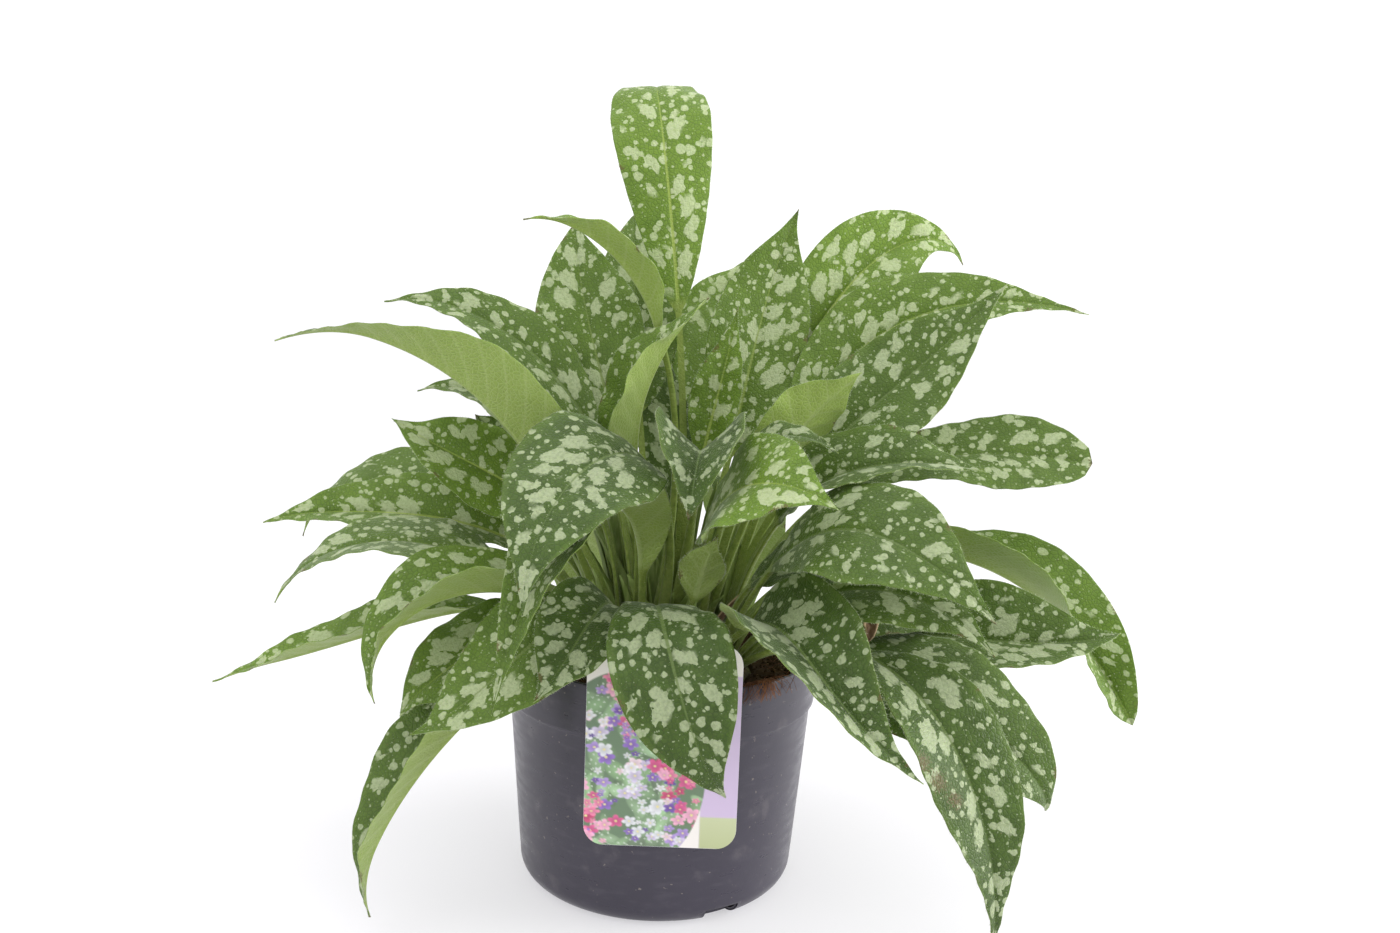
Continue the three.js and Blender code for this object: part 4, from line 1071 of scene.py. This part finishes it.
def label_picture(x, z):
    """Colours of the print at x across and z up the card, in linear values.

    A bed of pale-spotted leaves with five-petalled blossoms fills a wide oval on the left: each leaf is an
    ellipse, and a blossom's edge is its radius times 0.62 + 0.38 |cos(2.5 angle)|. The blossoms go from
    pink through purple to white across the bed. Cream runs over it, lilac beside it and green along the
    foot.
    """
    rng = np.random.default_rng(77)
    x, z = x[..., None], z[..., None]
    slope = LABEL_HEIGHT - 13 - z - 0.05 * np.clip(30 - x, 0, None) ** 2
    panel = smoothstep((x - 17) / 0.8) * smoothstep(slope / 0.8)
    paper = blend(linear(236, 231, 226), linear(204, 186, 216), panel)
    paper = blend(paper, linear(180, 188, 142) + 0.006 * z, panel * smoothstep((15 - z) / 0.8))

    picture = np.ones(x.shape) * linear(104, 128, 100)
    for _ in range(90):
        cx, cz = rng.uniform(-35, 19), rng.uniform(-2, 0.85 * LABEL_HEIGHT)
        turn, long, wide = rng.uniform(0, np.pi), rng.uniform(5, 11), rng.uniform(2.2, 4.5)
        dx = (x - cx) * math.cos(turn) + (z - cz) * math.sin(turn)
        dz = (z - cz) * math.cos(turn) - (x - cx) * math.sin(turn)
        near = np.hypot(dx / long, dz / wide)
        tint = linear(118, 148, 108) * rng.uniform(0.5, 1.6) + 0.08 * rng.uniform(0, 1)
        picture = blend(picture, tint * (1.25 - 0.5 * near.clip(0, 1)), smoothstep((1 - near) / 0.25))
        spots = np.sin(1.5 * dx + cx) * np.sin(1.9 * dz + cz)
        spots = 0.8 * smoothstep((spots - 0.62) / 0.2) * (near < 0.85)
        picture = blend(picture, linear(200, 214, 196), spots)
    pinks = [(216, 92, 146), (236, 134, 170), (242, 176, 204), (204, 70, 120)]
    purples = [(118, 82, 172), (146, 110, 196), (176, 148, 214), (92, 70, 156)]
    whites = [(238, 236, 242), (226, 228, 232), (212, 200, 228), (240, 214, 226)]
    for _ in range(210):
        cx, cz = rng.uniform(-35, 18), rng.uniform(0, 0.84 * LABEL_HEIGHT)
        size, turn, squash = rng.uniform(1.8, 4.6), rng.uniform(0, 2 * np.pi), rng.uniform(1.0, 1.7)
        region = math.sin(0.12 * cx + 0.07 * cz + 1.1) + rng.normal(0, 0.35)
        family = pinks if region < -0.25 else purples if region < 0.45 else whites
        paint = linear(*family[int(rng.integers(4))])
        dx, dz = x - cx, (z - cz) * squash
        distance = np.hypot(dx, dz)
        edge = size * (0.62 + 0.38 * np.abs(np.cos(2.5 * (np.arctan2(dz, dx) + turn))))
        petals = paint * (0.72 + 0.5 * (distance / size).clip(0, 1) ** 1.5)
        picture = blend(picture, petals, 0.95 * smoothstep((edge - distance) / 1.1))
        picture = blend(picture, linear(224, 214, 150), smoothstep((0.2 * size - distance) / 0.5))
    oval = ((x + 16) / 35) ** 2 + ((z - 0.36 * LABEL_HEIGHT) / (0.5 * LABEL_HEIGHT)) ** 2
    colours = paper * smoothstep((oval - 1) / 0.03) + picture * smoothstep((1.03 - oval) / 0.03)
    return colours.clip(0, 1)


def build_print(material):
    """The label's print: a sheet 0.12 mm thick on the card, its colours stored in its vertices."""
    z = np.linspace(PRINT_INSET, LABEL_HEIGHT - PRINT_INSET, PRINT_GRID[0])[:, None]
    x = (card_half_width(z) - 0.1) * np.linspace(1, -1, PRINT_GRID[1])
    z = np.broadcast_to(z, x.shape)
    front = columns(x + LABEL_SHIFT, LABEL_FRONT - 0.02 - PRINT_THICK, z + LABEL_BOTTOM)
    points, quads = shell(front, front + [0, PRINT_THICK, 0])
    mesh = mesh_from("label_print", points, quads, smooth=False)
    colours = np.tile(label_picture(x, z).reshape(-1, 3), (2, 1))
    layer = mesh.attributes.new("print", "FLOAT_COLOR", "POINT")
    layer.data.foreach_set("color", np.insert(colours, 3, 1, axis=1).astype(np.float32).ravel())
    add_piece(mesh, [material], "label_card")


# The pieces

leaf_look = leaf_material()
hair_look = clouded_material("lungwort_hair", 0.5, 0.4, (300.0, 2.0), ((176, 188, 150), (206, 212, 190)))
soil_look = clouded_material(
    "potting_soil", 0.95, 0.2, (160.0, 4.0), ((38, 27, 20), (84, 62, 44), (132, 108, 80)),
    marks=(620.0, 2.0, 0.64, 0.72), relief=(500.0, 4.0, 0.8, 0.0012),
)
fibre_look = clouded_material(
    "coir_fibre", 0.8, 0.3, (120.0, 2.0, 0.35, 0.65), ((92, 56, 36), (158, 108, 72)),
)
crown_look = clouded_material(
    "crown_bases", 0.8, 0.3, (180.0, 3.0, 0.4, 0.6), ((70, 72, 34), (124, 122, 66), (72, 50, 34)),
    marks=(70.0, 2.0, 0.5, 0.68), relief=(420.0, 3.0, 0.6, 0.0008),
)
card_look = clouded_material("label_card", 0.35, 0.5, (40.0, 2.0), ((226, 220, 232), (236, 232, 240)))
for order, row in enumerate(LEAVES):
    build_leaf(row, order, [leaf_look, hair_look])
build_dry_leaf(dry_material())
build_pot(pot_material())
build_soil(soil_look)
build_crumbs(soil_look)
build_fibres(fibre_look)
build_bases(crown_look, sheath_material())
build_print(print_material())
for node, look in (("crown", crown_look), ("label", card_look)):
    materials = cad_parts[node].data.materials
    materials.clear()
    materials.append(look)


# Floor, light and camera


def build_floor():
    """A wide pale floor under the pot."""
    half = 6000.0
    corners = np.array([[-half, -half, -0.2], [half, -half, -0.2], [half, half, -0.2], [-half, half, -0.2]])
    floor = add_object("studio_floor", mesh_from("studio_floor", corners, [[0, 1, 2, 3]]))
    r = Recipe("studio_floor", 0.9, 0.1)
    r.shader.inputs["Emission Color"].default_value = shade(253, 252, 255)
    r.shader.inputs["Emission Strength"].default_value = 0.53
    floor.data.materials.append(r.colour(shade(176, 175, 178)))


def aim(name, data, place, right, up):
    """Puts a light or camera into the scene at a place, with what is right and up in its view."""
    thing = add_object(name, data)
    turn = np.eye(4)
    turn[:3] = np.stack([right, up, np.cross(right, up), place], axis=1)
    thing.matrix_world = Matrix(turn.tolist())
    return thing


def add_soft_light(name, place, target, size, power):
    """A square soft light at a place, turned to a target."""
    light = bpy.data.lights.new(name, "AREA")
    light.size = size
    light.energy = power
    forward = unit(np.array(target) - np.array(place))
    right = unit(np.cross(forward, [0.0, 0.001, 1.0]))
    aim(name, light, place, right, np.cross(right, forward))


def add_camera():
    """The camera at the photograph's place: looking along +Y, pitched down, rolled, with its lens."""
    pitch, roll = math.radians(CAMERA_PITCH), math.radians(CAMERA_ROLL)
    level = np.array([1.0, 0.0, 0.0])
    upright = np.array([0.0, math.sin(pitch), math.cos(pitch)])
    right = math.cos(roll) * level + math.sin(roll) * upright
    up = math.cos(roll) * upright - math.sin(roll) * level
    lens = bpy.data.cameras.new("photo_camera")
    lens.sensor_width = SENSOR_MM
    lens.lens = FOCAL_PIXELS / FRAME_WIDTH * SENSOR_MM
    lens.clip_start = 0.01
    bpy.context.scene.camera = aim("photo_camera", lens, CAMERA_PLACE, right, up)


build_floor()
add_soft_light("soft_top", (0.0, -0.25, 1.5), (0.0, 0.0, 0.2), 1.2, 7.0)
add_soft_light("soft_left", (-1.2, -0.9, 0.9), (0.0, 0.0, 0.2), 0.9, 2.5)
add_soft_light("soft_right", (1.2, -0.1, 0.3), (0.0, 0.0, 0.1), 0.8, 13.0)
world = bpy.data.worlds.new("studio")
world.use_nodes = True
backdrop = world.node_tree.nodes["Background"]
backdrop.inputs["Color"].default_value = shade(254, 254, 255)
backdrop.inputs["Strength"].default_value = 1.19
bpy.context.scene.world = world
bpy.context.scene.view_settings.view_transform = "Standard"
add_camera()
